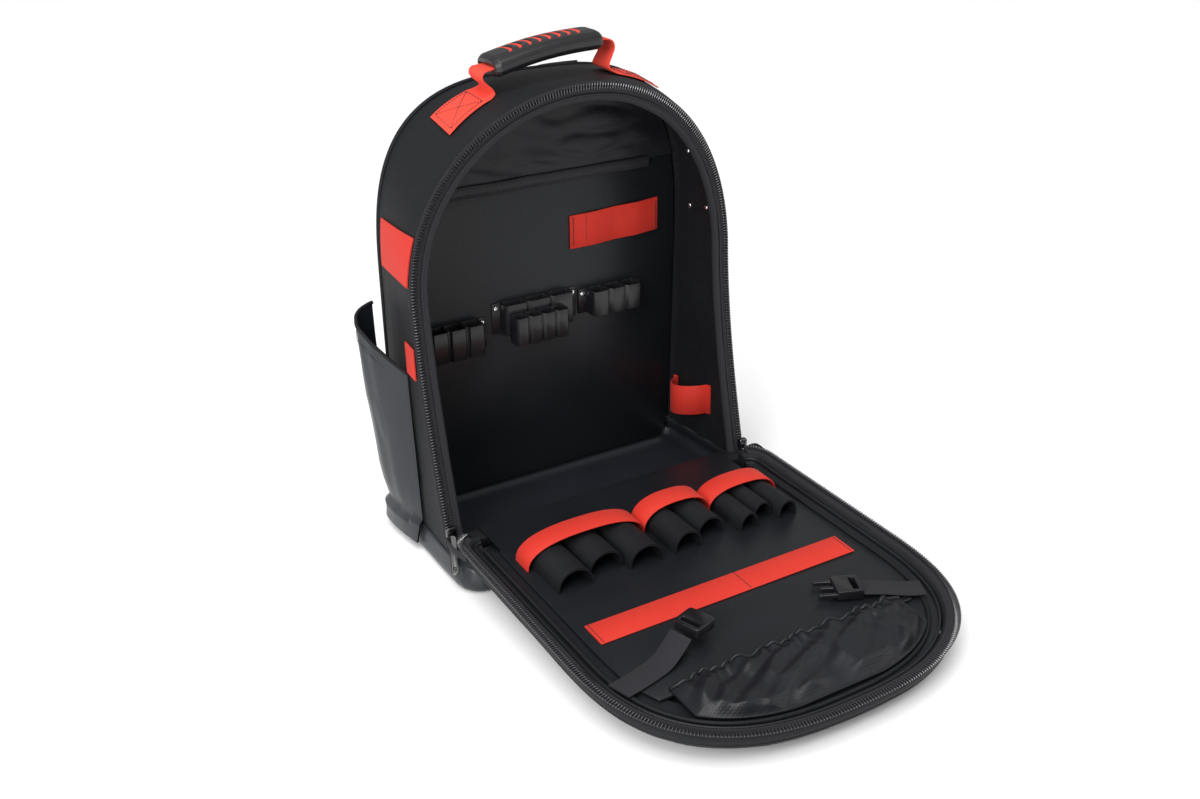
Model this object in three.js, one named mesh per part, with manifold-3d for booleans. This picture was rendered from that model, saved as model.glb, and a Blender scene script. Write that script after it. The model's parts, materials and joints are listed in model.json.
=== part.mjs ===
import * as THREE from "three";
import { mergeVertices } from "three/addons/utils/BufferGeometryUtils.js";
import Module from "manifold-3d";

const wasm = await Module();
wasm.setup();

// A tool backpack that stands on its base with its front door unzipped and lying forward on the floor.
// Millimetres, +Z up. The wearer's back is at +Y, the opening faces -Y and +X is the viewer's right.

// Driving sizes

const gap = 0.3; // between pieces that touch
const webbing = 1.5; // thickness of every strap and tape
const fabric = 1.8; // thickness of unpadded cloth

const shell = {
  half: 186, // half width at the front edge
  foot: 15, // height of the front edge over the floor
  height: 450, // length of the opening, foot to crown
  skew: 6, // how much further in the right side stands at the foot than the left one
  spring: 254, // height over the foot at which the arch starts
  power: 2.04, // of the front arch, 2 being an ellipse
  backPower: 3.1, // of the squarer arch at the back
  depth: 148, // back face, behind the foot of the front edge
  wall: 4, // padded wall
  backInset: 9, // how much narrower each side is at the back
  backRound: 8, // radius where the walls turn into the back
  crownDrop: 5, // how much lower the crown is at the back
  sweep: 57, // how far the front edge lies back where it is deepest
  sweepShare: 0.68, // share of the height at which it does
  brow: 37, // how far it lies back at the crown
};

const base = {
  half: shell.half + 5, // the boot stands out past the walls
  seam: 28, // height of its top edge at the sides and at the back
  lip: 41, // top of the low front wall
  lipWall: 4,
  backCorner: 10,
  overhang: 5, // of the boot over the walls at the seam
};

// The boot's rings from the floor up outside and down again inside. Its front bulges forward under the door.
// Columns: height at the sides, height in front, inset, place of the front, radius in front, and taper.
const bootTable = [
  { side: 0, front: 0, inset: 8, edge: -41, corner: 20, taper: 0.2 },
  { side: 3, front: 3, inset: 2, edge: -47, corner: 26, taper: 0.25 },
  { side: 10, front: 11, inset: 0, edge: -49, corner: 28, taper: 0.5 },
  { side: 28, front: 24, inset: 5, edge: -44, corner: 26, taper: 1 },
  { side: 28, front: 29, inset: 6.2, edge: -29, corner: 16, taper: 1 },
  { side: 28, front: 31.2, inset: 7.4, edge: -12, corner: 8, taper: 1 },
  { side: 28, front: 31.2, inset: 9.2, edge: 2.8, corner: 3, taper: 1 },
  { side: 24, front: 27.5, inset: 9.4, edge: -9, corner: 5, taper: 0.9 },
  { side: 20, front: 25, inset: 9, edge: -26, corner: 12, taper: 0.8 },
  { side: 12, front: 12, inset: 6, edge: -43, corner: 22, taper: 0.5 },
  { side: 4, front: 4, inset: 14, edge: -35, corner: 16, taper: 0.2 },
];

const door = {
  half: shell.half,
  hinge: -15, // where its rear edge lies
  length: 385,
  corner: 22,
  springShare: 0.564, // share of the length at which the far arch starts
  power: 2.585,
  top: 51, // height of the rim at the hinge
  slope: 0.046, // fall of the rim towards the far end
  rim: 18, // height of the padded rim
  wall: 10, // width of the rolled rim
  panel: 3,
};

const board = {
  half: door.half - 31,
  rear: 4,
  far: -308,
  thick: 3,
  below: 5, // its top under the rim's top
};

const outerPocket = { half: door.half - 28, rear: door.hinge - 45, far: door.hinge - door.length + 12, corner: 40, round: 12 };

const zip = { foot: 48, tape: 11, thick: 1.6, coil: 3.2, coilRise: 1.8, slider: 12, sliderThick: 5, pull: 40, pullWidth: 8, pullThick: 2 };

// Where a pull hangs: its top by the slider, and its tip in front of the boot's corner
const pullPlace = {
  top: { x: base.half - 8, y: -1, z: base.seam + 19.4 },
  tip: { x: base.half + 4.5, y: -33, z: base.seam - 14 },
};

const binding = { width: 8, depth: 9 };

const sleeve = { rear: -66, mouth: -138, wall: 2, rise: 20, clear: 6, power: 2 };

const band = { y: -81, width: 25, rise: 25, power: 2.5 };

const flatTape = { y: -207, width: 30, half: board.half - 10 };

const boardStrap = { width: 24 };

const buckle = { width: 28, length: 26, thick: 9, clear: 0.6, clearRaised: 5.9 };

const gathered = { half: board.half - 41, hem: board.far + 4, inset: 33, rise: 5.8, belly: 3, fold: 3 };

// The board stands in the inner outline at this share of the depth.
const toolBoard = { foot: 9, share: 0.93, top: shell.height - 100, thick: 2.5, face: shell.depth - 13, clear: 2 };

const hem = { width: 12, reach: 0.72, below: 8.4, front: 3.8, slant: 6 };

const elastic = { from: shell.half - 150, to: shell.half - 39, low: toolBoard.top - 85, high: toolBoard.top - 48, slack: 3 };

const wallBand = { width: 36, standOff: 24, front: 60, back: shell.depth - 22, low: 58 };

// The red bands outside the left wall, and the tab on the right one
const sideBand = {
  upper: { from: 58, to: shell.depth - 16, low: shell.height - 160, high: shell.height - 112 },
  lower: { from: 52, to: 76, low: 196, high: 229 },
};
const sideLoop = { y: 100, z: shell.height - 85, height: 12, width: 18, out: 8 };

const sidePocket = { front: 70, back: shell.depth - 8, wall: 2, foot: 9 };

const handle = {
  y: 93, // middle of the webbing
  width: 41,
  patch: 40, // stitched length at each end
  lift: 1,
  left: { side: -1, root: -86, inner: -75, outer: -86 },
  right: { side: 1, root: 66, inner: 51, outer: 58 },
  gripWebbing: 30, // width of the webbing inside the grip
  gripLeft: -75,
  gripRight: 43,
  gripRiseLeft: 28, // height of the webbing's underside in the grip over the crown's top
  gripRiseRight: 43,
  gripWidth: 46,
  gripThick: 20,
  bow: 4,
  slots: 8,
  slotLength: 26,
  slotWidth: 5,
};

const harness = {
  padHalf: shell.half - 68,
  padFoot: 72,
  padTop: shell.height - 38,
  pad: 14,
  yoke: 10,
  yokeHalf: 72,
  yokeFoot: shell.height - 35,
  yokeTop: shell.height - 2,
  topLeft: shell.height, // height of the left strap's root
  topRight: shell.height + 8, // the right one stands a little over the crown
  strapWidth: 62,
  strapThick: 12,
  strapTop: 38, // distance of each strap from the middle at the yoke
  strapSpread: 84, // and at its lower end
  strapEnd: 195,
  bow: 42,
  web: 25,
  webFoot: 42,
  webSpread: 122,
};

// Smoothness of the round stretches
const steps = { corner: 6, side: 3, wall: 5, arch: 10, roll: 6 };

// Finishes: colour, roughness and metalness
const finishes = {
  fabric: { color: 0x24252a, roughness: 0.85, metalness: 0 },
  coated: { color: 0x2b2c31, roughness: 0.6, metalness: 0 },
  nylon: { color: 0x2a2b30, roughness: 0.45, metalness: 0 },
  webbingRed: { color: 0xe2402f, roughness: 0.8, metalness: 0 },
  webbingBlack: { color: 0x1d1e21, roughness: 0.8, metalness: 0 },
  plastic: { color: 0x17181a, roughness: 0.4, metalness: 0 },
  metal: { color: 0xc9ccd0, roughness: 0.25, metalness: 1 },
};

// Solids from sections, outlines and grids

// A closed geometry from corners and triangles, turned so that its faces point out.
function closedGeometry(points, faces) {
  const volume = faces.reduce(
    (sum, [a, b, c]) => sum + points[a].dot(points[b].clone().cross(points[c])),
    0,
  );
  const index = faces.flatMap(([a, b, c]) => (volume < 0 ? [a, c, b] : [a, b, c]));
  const geometry = new THREE.BufferGeometry();
  geometry.setAttribute(
    "position",
    new THREE.BufferAttribute(new Float32Array(points.flatMap((p) => [p.x, p.y, p.z])), 3),
  );
  geometry.setIndex(index);
  geometry.computeVertexNormals();
  return geometry;
}

// Joins sections of one length into a solid. A section lists one side and then the other side backwards.
function loft(sections, ring = false) {
  const count = sections[0].length;
  const faces = [];
  const spans = ring ? sections.length : sections.length - 1;
  for (let i = 0; i < spans; i += 1) {
    const here = i * count;
    const there = ((i + 1) % sections.length) * count;
    for (let k = 0; k < count; k += 1) {
      const next = (k + 1) % count;
      faces.push([here + k, here + next, there + next], [here + k, there + next, there + k]);
    }
  }
  if (!ring) {
    const end = (sections.length - 1) * count;
    for (let k = 0; k < count / 2 - 1; k += 1) {
      const quad = [k, k + 1, count - 2 - k, count - 1 - k];
      const [a, b, c, d] = quad;
      faces.push([a, d, c], [a, c, b]);
      faces.push([end + a, end + b, end + c], [end + a, end + c, end + d]);
    }
  }
  return closedGeometry(sections.flat(), faces);
}

// The triangles of a flat outline, turned the way that the outline runs.
function capFaces(contour) {
  const turn = Math.sign(THREE.ShapeUtils.area(contour));
  const faces = THREE.ShapeUtils.triangulateShape(contour, []);
  const total = faces.reduce((sum, [a, b, c]) => sum + THREE.ShapeUtils.area([contour[a], contour[b], contour[c]]), 0);
  return faces.map(([a, b, c]) => (Math.sign(total) === turn ? [a, b, c] : [a, c, b]));
}

// A closed plate with an outline of [u, v] pairs, between two surfaces over it.
function slab(outline, lower, upper, place = (u, v, w) => new THREE.Vector3(u, v, w)) {
  const count = outline.length;
  const cap = capFaces(outline.map(([u, v]) => new THREE.Vector2(u, v)));
  const points = [
    ...outline.map(([u, v]) => place(u, v, lower(u, v))),
    ...outline.map(([u, v]) => place(u, v, upper(u, v))),
  ];
  const faces = [];
  for (const [a, b, c] of cap) {
    faces.push([a, c, b], [count + a, count + b, count + c]);
  }
  for (let k = 0; k < count; k += 1) {
    const next = (k + 1) % count;
    faces.push([k, next, count + next], [k, count + next, count + k]);
  }
  return closedGeometry(points, faces);
}

// A body from rings of one length, closed flat over the first and the last.
function vessel(rings, place = (p) => p) {
  const count = rings[0].length;
  const cap = capFaces(rings[0].map((p) => new THREE.Vector2(p.x, p.y)));
  const faces = [];
  const last = (rings.length - 1) * count;
  for (const [a, b, c] of cap) {
    faces.push([a, c, b], [last + a, last + b, last + c]);
  }
  for (let i = 0; i < rings.length - 1; i += 1) {
    const here = i * count;
    const there = here + count;
    for (let k = 0; k < count; k += 1) {
      const next = (k + 1) % count;
      faces.push([here + k, here + next, there + next], [here + k, there + next, there + k]);
    }
  }
  return closedGeometry(rings.flat().map(place), faces);
}

// A sheet over a grid of rows, thickened along one direction.
function quilt(rows, through) {
  const across = rows[0].length;
  const top = rows.flat();
  const count = top.length;
  const points = [...top, ...top.map((p) => p.clone().add(through))];
  const faces = [];
  const wall = (a, b) => faces.push([a, b, count + b], [a, count + b, count + a]);
  for (let i = 0; i < rows.length - 1; i += 1) {
    for (let k = 0; k < across - 1; k += 1) {
      const a = i * across + k;
      const b = a + 1;
      const c = a + across + 1;
      const d = a + across;
      faces.push([a, c, b], [a, d, c]);
      faces.push([count + a, count + b, count + c], [count + a, count + c, count + d]);
    }
  }
  for (let k = 0; k < across - 1; k += 1) {
    wall(k, k + 1);
    wall(count - 1 - k, count - 2 - k);
  }
  for (let i = 0; i < rows.length - 1; i += 1) {
    wall((i + 1) * across, i * across);
    wall((i + 1) * across - 1, (i + 2) * across - 1);
  }
  return closedGeometry(points, faces);
}

// A flat strap: its underside follows the path, its width runs along `across`.
function ribbon(path, across, width, thick, side = 1) {
  const sections = path.map((point, i) => {
    const wide = across.clone().normalize();
    const before = path[Math.max(i - 1, 0)];
    const after = path[Math.min(i + 1, path.length - 1)];
    const up = after.clone().sub(before).cross(wide).normalize().multiplyScalar(side * thick);
    const half = wide.multiplyScalar(width / 2);
    return [
      point.clone().add(half),
      point.clone().sub(half),
      point.clone().sub(half).add(up),
      point.clone().add(half).add(up),
    ];
  });
  return loft(sections);
}

// A path smoothed through a few points.
function smoothPath(points, count) {
  return new THREE.CatmullRomCurve3(points).getPoints(count);
}

// A rounded oblong of [u, v] pairs about a centre.
function oblong(centreU, centreV, halfU, halfV, round, arcs = 2) {
  const points = [];
  const corners = [
    [1, -1, -Math.PI / 2],
    [1, 1, 0],
    [-1, 1, Math.PI / 2],
    [-1, -1, Math.PI],
  ];
  for (const [signU, signV, start] of corners) {
    for (let k = 0; k <= arcs; k += 1) {
      const angle = start + (k / arcs) * (Math.PI / 2);
      points.push([
        centreU + signU * (halfU - round) + round * Math.cos(angle),
        centreV + signV * (halfV - round) + round * Math.sin(angle),
      ]);
    }
  }
  return points;
}

// A straight prism of an outline with holes, from one height to another.
function prism(outline, holes, low, high) {
  const shape = new THREE.Shape(outline.map(([x, y]) => new THREE.Vector2(x, y)));
  for (const hole of holes) {
    shape.holes.push(new THREE.Path(hole.map(([x, y]) => new THREE.Vector2(x, y))));
  }
  const geometry = new THREE.ExtrudeGeometry(shape, { depth: high - low, bevelEnabled: false });
  geometry.translate(0, 0, low);
  return geometry;
}

// Boolean joins and cuts

function toSolid(geometry) {
  const bare = new THREE.BufferGeometry();
  const plain = geometry.index ? geometry.toNonIndexed() : geometry;
  bare.setAttribute("position", plain.getAttribute("position"));
  const merged = mergeVertices(bare, 1e-4);
  return new wasm.Manifold(
    new wasm.Mesh({
      numProp: 3,
      vertProperties: merged.attributes.position.array,
      triVerts: new Uint32Array(merged.index.array),
    }),
  );
}

function toGeometry(solid) {
  const mesh = solid.getMesh();
  const geometry = new THREE.BufferGeometry();
  geometry.setAttribute("position", new THREE.BufferAttribute(mesh.vertProperties, 3));
  geometry.setIndex(new THREE.BufferAttribute(mesh.triVerts, 1));
  geometry.computeVertexNormals();
  return geometry;
}

function cut(body, tools) {
  return toGeometry(tools.reduce((rest, tool) => rest.subtract(toSolid(tool)), toSolid(body)));
}

function join(bodies) {
  return toGeometry(bodies.map(toSolid).reduce((all, next) => all.add(next)));
}

// The bag's own surfaces

// How far the front edge lies back at a share of the height: a cubic through foot, deepest point and brow.
function frontEdge(share) {
  const { sweep, sweepShare: deepest, brow } = shell;
  const third = (brow - (2 * sweep) / deepest + sweep / deepest ** 2) / (1 - deepest) ** 2;
  const second = -sweep / deepest ** 2 - 2 * deepest * third;
  const first = (2 * sweep) / deepest + deepest ** 2 * third;
  return share * (first + share * (second + share * third));
}

// The left half of an arch, from its spring to its crown.
function archPoints(half, spring, crown, power) {
  const points = [];
  const bent = (value) => Math.max(value, 0) ** (2 / power);
  for (let k = 0; k <= steps.arch; k += 1) {
    const angle = ((k / steps.arch) * Math.PI) / 2;
    points.push([-half * bent(Math.cos(angle)), spring + (crown - spring) * bent(Math.sin(angle))]);
  }
  return points;
}

// The left half of an outline with round lower corners and an arched top, foot to crown.
function archHalf(half, foot, spring, crown, corner, power) {
  const points = [];
  for (let k = 0; k <= steps.corner; k += 1) {
    const angle = ((k / steps.corner) * Math.PI) / 2;
    points.push([-half + corner * (1 - Math.sin(angle)), foot + corner * (1 - Math.cos(angle))]);
  }
  for (let k = 1; k < steps.side; k += 1) {
    points.push([-half, foot + corner + ((spring - foot - corner) * k) / steps.side]);
  }
  return [...points, ...archPoints(half, spring, crown, power)];
}

// The right side stands in towards its foot.
const skewed = (x, foot) => (x > 0 ? x - shell.skew * Math.max(foot, 0) : x);

function mirrored(points) {
  return [...points, ...points.slice(0, -1).reverse().map(([x, y]) => [-x, y])];
}

const archPower = (share) => shell.power + (shell.backPower - shell.power) * share;

// The front view of the walls at a share of their depth, `inset` inside their outer face, as [x, z] pairs.
function bagOutline(share, inset) {
  const half = shell.half - shell.backInset * share - inset;
  const crown = shell.foot + shell.height - shell.crownDrop * share - inset;
  const spring = shell.foot + shell.spring;
  const points = [[-half, base.seam + gap]];
  for (let k = 0; k < steps.wall; k += 1) {
    points.push([-half, zip.foot + ((spring - zip.foot) * k) / steps.wall]);
  }
  points.push(...archPoints(half, spring, crown, archPower(share)));
  return mirrored(points).map(([x, z]) => [skewed(x, 1 - z / spring), z]);
}

// The same outline in space. Its depth lies between the leaning front edge and the flat back.
function bagLoop(share, inset) {
  const edge = bagOutline(0, inset);
  return bagOutline(share, inset).map(([x, z], i) => {
    const front = frontEdge((edge[i][1] - shell.foot) / shell.height);
    return new THREE.Vector3(x, front + (shell.depth - front) * share, z);
  });
}

// The wall's stations over the depth, with the inset of the round back edge as a share of its radius.
const wallTable = [
  { share: 0, round: 0 },
  { share: 0.1, round: 0 },
  { share: 0.45, round: 0 },
  { share: 0.9, round: 0 },
  { share: 0.97, round: 0.35 },
  { share: 1, round: 1 },
];

const loopCount = bagLoop(0, 0).length;

function shellGusset() {
  const outer = wallTable.map((row) => bagLoop(row.share, shell.backRound * row.round));
  const inner = wallTable.map((row) => bagLoop(row.share, shell.backRound * row.round + shell.wall));
  return loft(
    outer[0].map((_, at) => [...outer.map((loop) => loop[at]), ...inner.map((loop) => loop[at]).reverse()]),
  );
}

// One ring of the boot, from the middle of the front round by the right side.
function bootRing(row) {
  const back = shell.depth - Math.max(row.inset - base.overhang, 0);
  const points = [];
  const turn = (side, edge, radius, start, towards) => {
    const half = base.half - row.inset - (edge > 0 ? row.taper * shell.backInset : 0);
    const way = edge > 0 ? -1 : 1;
    for (let k = 0; k <= 4; k += 1) {
      const angle = start + (k / 4) * (Math.PI / 2);
      const share = towards === 0 ? 0 : towards > 0 ? k / 4 : 1 - k / 4;
      points.push(
        new THREE.Vector3(
          skewed(side * (half - radius) + radius * Math.cos(angle), 1),
          edge + way * radius + radius * Math.sin(angle),
          row.side + (row.front - row.side) * share,
        ),
      );
    }
  };
  const beside = (side) =>
    points.push(new THREE.Vector3(skewed(side * (base.half - row.inset), 1), shell.foot / 2 + row.inset, row.side));
  turn(1, row.edge, row.corner, -Math.PI / 2, -1);
  beside(1);
  turn(1, back, base.backCorner, 0, 0);
  turn(-1, back, base.backCorner, Math.PI / 2, 0);
  beside(-1);
  turn(-1, row.edge, row.corner, Math.PI, 1);
  return points;
}

const baseBoot = () => vessel(bootTable.map(bootRing));

// Boot and walls as things to lay other pieces on: the first place of them that a straight line meets.
const bodies = [baseBoot(), shellGusset()].map((geometry) => new THREE.Mesh(geometry));

function landing(from, way) {
  const [hit] = new THREE.Raycaster(from, way).intersectObjects(bodies);
  return hit ? hit.point : landing(from.clone().setZ(from.z + 2 * gap), way);
}

const farOff = 1000;
const outsideAt = (side, y, z) =>
  Math.abs(landing(new THREE.Vector3(side * farOff, y, z), new THREE.Vector3(-side, 0, 0)).x);
const insideAt = (side, y, z) =>
  Math.abs(landing(new THREE.Vector3(0, y, z), new THREE.Vector3(side, 0, 0)).x);
const crownAt = (x, y) => landing(new THREE.Vector3(x, y, farOff), new THREE.Vector3(0, 0, -1)).z;

// A loop of the front view at a share of the depth, as [x, z] pairs inside the wall's inner face.
function innerOutline(share, clear) {
  return bagLoop(share, shell.wall + clear).map((p) => [p.x, p.z]);
}

// A plate that stands in the front view between two depths.
function upright(outline, front, back) {
  return slab(
    outline,
    () => front,
    () => back,
    (x, z, y) => new THREE.Vector3(x, y, z),
  );
}

// The padded back: it fills the opening that the walls leave at the back.
function backPanel() {
  const outline = innerOutline(1, shell.backRound + gap);
  return upright(outline, toolBoard.face + toolBoard.thick + gap, shell.depth);
}

function boardBelow(height, loop) {
  return loop.filter(([, z]) => z <= height);
}

// The tool board: the inner outline at its own depth, cut straight at the top.
function toolBoardPlate() {
  const outline = boardBelow(toolBoard.top, innerOutline(toolBoard.share, toolBoard.clear + 1));
  const left = outline.filter(([x]) => x < 0);
  const right = outline.filter(([x]) => x > 0);
  const half = Math.abs(left[left.length - 1][0]) - 4;
  const cutTop = [
    [-half, toolBoard.top],
    [half, toolBoard.top],
  ];
  const foot = [
    [right[right.length - 1][0] - 8, toolBoard.foot],
    [left[0][0] + 8, toolBoard.foot],
  ];
  const points = [...left, ...cutTop, ...right, ...foot];
  return upright(points, toolBoard.face, toolBoard.face + toolBoard.thick);
}

// The nylon over the upper back: rows from the hem to the crown, with soft creases.
function topLining() {
  const rows = [];
  const loop = innerOutline(toolBoard.share, toolBoard.clear + 2);
  const crown = Math.max(...loop.map(([, z]) => z));
  const foot = toolBoard.top + gap;
  const rowCount = 6;
  const across = 14;
  const width = (z) => {
    const left = loop.filter(([x]) => x <= 0);
    const above = left.findIndex(([, value]) => value >= z);
    const [a, b] = [left[above - 1], left[above]];
    return -(a[0] + ((b[0] - a[0]) * (z - a[1])) / (b[1] - a[1]));
  };
  for (let i = 0; i <= rowCount; i += 1) {
    const z = foot + (crown - 4 - foot) * (i / rowCount);
    const half = width(z);
    const row = [];
    for (let k = 0; k <= across; k += 1) {
      const x = half * ((2 * k) / across - 1);
      const crease = Math.sin(i * 1.3) * Math.cos(k * 1.9 + i) * (i > 0 && i < rowCount ? 1 : 0);
      row.push(new THREE.Vector3(x, toolBoard.face - 1.5 - crease, z));
    }
    rows.push(row);
  }
  return quilt(rows, new THREE.Vector3(0, fabric, 0));
}

function liningHem() {
  const half = shell.half * hem.reach;
  const foot = toolBoard.top - hem.below;
  const front = toolBoard.face - hem.front;
  return upright(
    [
      [-half, foot],
      [half, foot],
      [half - hem.slant, foot + hem.width],
      [-half + hem.slant, foot + hem.width],
    ],
    front,
    front + webbing,
  );
}

// The front lip: a low wall under the hinge, leaning with the front edge.
function frontLip() {
  const low = bootTable[5].front + gap;
  return loft(
    [low, (low + base.lip) / 2, base.lip].map((z) => {
      const back = frontEdge((z - shell.foot) / shell.height) - gap;
      const half = shell.half - gap;
      const right = skewed(half, 1);
      return [
        new THREE.Vector3(-half, back - base.lipWall, z),
        new THREE.Vector3(right, back - base.lipWall, z),
        new THREE.Vector3(right, back, z),
        new THREE.Vector3(-half, back, z),
      ];
    }),
  );
}

// The strip of zip tape along the opening. Columns: inset from the outer face, and rise over the front edge.
const tapeTable = [
  { inset: -0.5, rise: 0 },
  { inset: 1.2, rise: 0.2 },
  { inset: 2.2, rise: 1 },
  { inset: 2.2 + zip.coil, rise: 1 },
  { inset: 3.2 + zip.coil, rise: 0.2 },
  { inset: zip.tape, rise: 0 },
];

function frontSections(from, to, table, section) {
  const loops = table.map((row) => bagLoop(0, row.inset));
  const sections = [];
  for (let place = from; place <= to; place += 1) {
    sections.push(section(loops.map((loop) => loop[place])));
  }
  return sections;
}

const tapeStart = 1;

function shellZipTape() {
  const sections = frontSections(tapeStart, loopCount - 1 - tapeStart, tapeTable, (points) => [
    ...points.map((p) => p.clone().setY(p.y - gap)),
    ...points
      .map((p, k) => p.clone().setY(p.y - gap - zip.thick - zip.coilRise * tapeTable[k].rise))
      .reverse(),
  ]);
  return loft(sections);
}

// The rolled, bound edge inside the zip tape.
function shellBinding() {
  const middle = zip.tape + gap + binding.width / 2;
  const table = [];
  for (let k = 0; k < 8; k += 1) {
    const angle = ((k + 0.5) / 8) * Math.PI * 2;
    table.push({ inset: middle - (binding.width / 2) * Math.cos(angle), back: (binding.depth / 2) * Math.sin(angle) });
  }
  const order = [2, 1, 0, 7, 6, 5, 4, 3];
  const sorted = order.map((k) => table[k]);
  return loft(
    frontSections(tapeStart, loopCount - 1 - tapeStart, sorted, (points) =>
      points.map((p, k) => p.clone().setY(p.y + sorted[k].back + 1)),
    ),
  );
}

// The door

function doorTop(y) {
  return door.top + door.slope * (y - door.hinge);
}

// The door's outline from its left hinge corner round the far end, as [x, y] pairs.
function doorLoop(inset, sizes = door) {
  const half = sizes.half - inset;
  const far = sizes.length - inset;
  const spring = sizes.length * sizes.springShare;
  const corner = Math.max(sizes.corner - inset, 3);
  const loop = mirrored(archHalf(half, inset, spring, far, corner, sizes.power));
  return loop.map(([x, v]) => [skewed(x, 1 - v / spring), door.hinge - v]);
}

// The rim's section. Columns: inset and height under the rim's top.
const rimTable = {
  outer: [
    { inset: 4, down: door.rim },
    { inset: 0.5, down: door.rim * 0.6 },
    { inset: 0, down: door.rim * 0.2 },
    { inset: 2.5, down: 0 },
  ],
  inner: [
    { inset: door.wall, down: door.rim },
    { inset: door.wall, down: door.rim * 0.6 },
    { inset: door.wall - 0.5, down: door.rim * 0.2 },
    { inset: door.wall - 3, down: 0 },
  ],
};

function doorRim() {
  const place = (rows) => rows.map((row) => doorLoop(row.inset).map(([x, y]) => [x, y, doorTop(y) - row.down]));
  const outer = place(rimTable.outer);
  const inner = place(rimTable.inner);
  const sections = outer[0].map((_, i) => [
    ...outer.map((loop) => new THREE.Vector3(...loop[i])),
    ...inner.map((loop) => new THREE.Vector3(...loop[i])).reverse(),
  ]);
  return loft(sections);
}

function doorZipTape() {
  const table = [
    { inset: -4, up: 1 },
    { inset: -0.8, up: 1 },
    { inset: 0, up: 0 },
    { inset: 5.5, up: 0 },
  ];
  const loops = table.map((row) => doorLoop(row.inset));
  const sections = [];
  for (let i = 2; i < loops[0].length - 2; i += 1) {
    const low = loops.map(([...loop]) => new THREE.Vector3(...loop[i], doorTop(loop[i][1]) + gap));
    const high = low.map((p, k) => p.clone().setZ(p.z + zip.thick + zip.coilRise * table[k].up));
    sections.push([...low, ...high.reverse()]);
  }
  return loft(sections);
}

function doorPanel() {
  return slab(
    doorLoop(door.wall + gap),
    (x, y) => doorTop(y) - door.rim,
    (x, y) => doorTop(y) - door.rim + door.panel,
  );
}

// The lining ledge between rim and board, with its piped ridge. Columns: inset, lower and upper face
// below the rim's top.
const ledgeTable = [
  { inset: door.wall + gap + 0.2, low: 5.5, high: 4 },
  { inset: 17, low: 9, high: 7.5 },
  { inset: 19, low: 9, high: 4.5 },
  { inset: 22, low: 9, high: 4.5 },
  { inset: 24, low: 9.9, high: 8.4 },
  { inset: 38, low: 9.9, high: 8.4 },
];

function doorLedge() {
  const loops = ledgeTable.map((row) => doorLoop(row.inset));
  const sections = [];
  for (let i = 0; i < loops[0].length; i += 1) {
    const at = (column) =>
      loops.map((loop, k) => new THREE.Vector3(...loop[i], doorTop(loop[i][1]) - ledgeTable[k][column]));
    sections.push([...at("low"), ...at("high").reverse()]);
  }
  return loft(sections);
}

const boardTop = (y) => doorTop(y) - board.below;

// The board follows the ledge at its sides and is cut straight at both ends.
function doorBoard() {
  const edge = doorLoop(door.half - board.half);
  const sideOf = (points) => {
    const run = points.filter(
      ([x, y]) => x * points[0][0] > 0 && y < door.hinge - door.corner && y > board.far,
    );
    const last = run[run.length - 1];
    const next = points[points.indexOf(last) + 1];
    const share = (board.far - last[1]) / (next[1] - last[1]);
    const far = last[0] + (next[0] - last[0]) * share;
    return [[run[0][0], board.rear], ...run, [far, board.far]];
  };
  const left = sideOf(edge);
  const right = sideOf([...edge].reverse());
  return slab(
    [...left, ...right.reverse()],
    (x, y) => boardTop(y) - board.thick,
    (x, y) => boardTop(y),
  );
}

// The hinge: one leg over the lip, one down the rear of the door.
function hingeFlap() {
  const top = base.lip + gap;
  const under = boardTop(door.hinge) - board.thick - gap;
  const wide = door.half - door.corner - gap;
  const foot = doorTop(door.hinge) - door.rim;
  const rear = door.hinge + 1;
  const section = [
    [board.rear - 1, top],
    [rear + fabric, top],
    [rear + fabric, foot],
    [rear, foot],
    [rear, under],
    [board.rear - 1, Math.min(top + fabric, under)],
  ];
  return loft(
    [-wide, wide].map((x) => section.map(([y, z]) => new THREE.Vector3(x, y, z))),
  );
}

// The closed pocket under the door, on which the door rests.
function doorOuterPocket() {
  const half = outerPocket.half;
  const length = outerPocket.rear - outerPocket.far;
  const loop = (inset) =>
    mirrored(archHalf(half - inset, inset, length * 0.45, length - inset, outerPocket.corner, door.power)).map(
      ([x, v]) => [x, outerPocket.rear - v],
    );
  const top = (y) => doorTop(y) - door.rim - gap;
  const ring = (inset, share) => loop(inset).map(([x, y]) => new THREE.Vector3(x, y, top(y) * share));
  const { round } = outerPocket;
  return vessel([ring(round, 0), ring(round * 0.3, 0.25), ring(0, 0.6), ring(1, 1)]);
}

// Sleeves and bands on the board

// The three spans of the arched band. Columns: its two feet, and the sleeves under it.
const spanTable = [
  { from: -147, to: -16, sleeves: 3, rise: 1 },
  { from: -16, to: 63, sleeves: 2, rise: 1 },
  { from: 63, to: 147, sleeves: 3, rise: 0.85 },
];

function domeHeight(u, power) {
  return Math.max(1 - Math.abs(u) ** power, 0) ** (1 / power);
}

function sleeveSolid(left, right, rise, mouth) {
  const middle = (left + right) / 2;
  const half = (right - left) / 2;
  const sections = [sleeve.rear, (sleeve.rear + mouth) / 2, mouth].map((y, i) => {
    const swell = [0.85, 1, 1.02][i];
    const floor = boardTop(y) + gap;
    const arc = (inset) => {
      const points = [];
      for (let k = 0; k <= steps.roll; k += 1) {
        const angle = Math.PI * (k / steps.roll);
        points.push(
          new THREE.Vector3(
            middle - (half - inset) * Math.cos(angle),
            y,
            floor + (rise * swell - inset) * Math.sin(angle) ** (2 / sleeve.power / 1.2),
          ),
        );
      }
      return points;
    };
    return [...arc(0), ...arc(sleeve.wall).reverse()];
  });
  return loft(sections);
}

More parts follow.
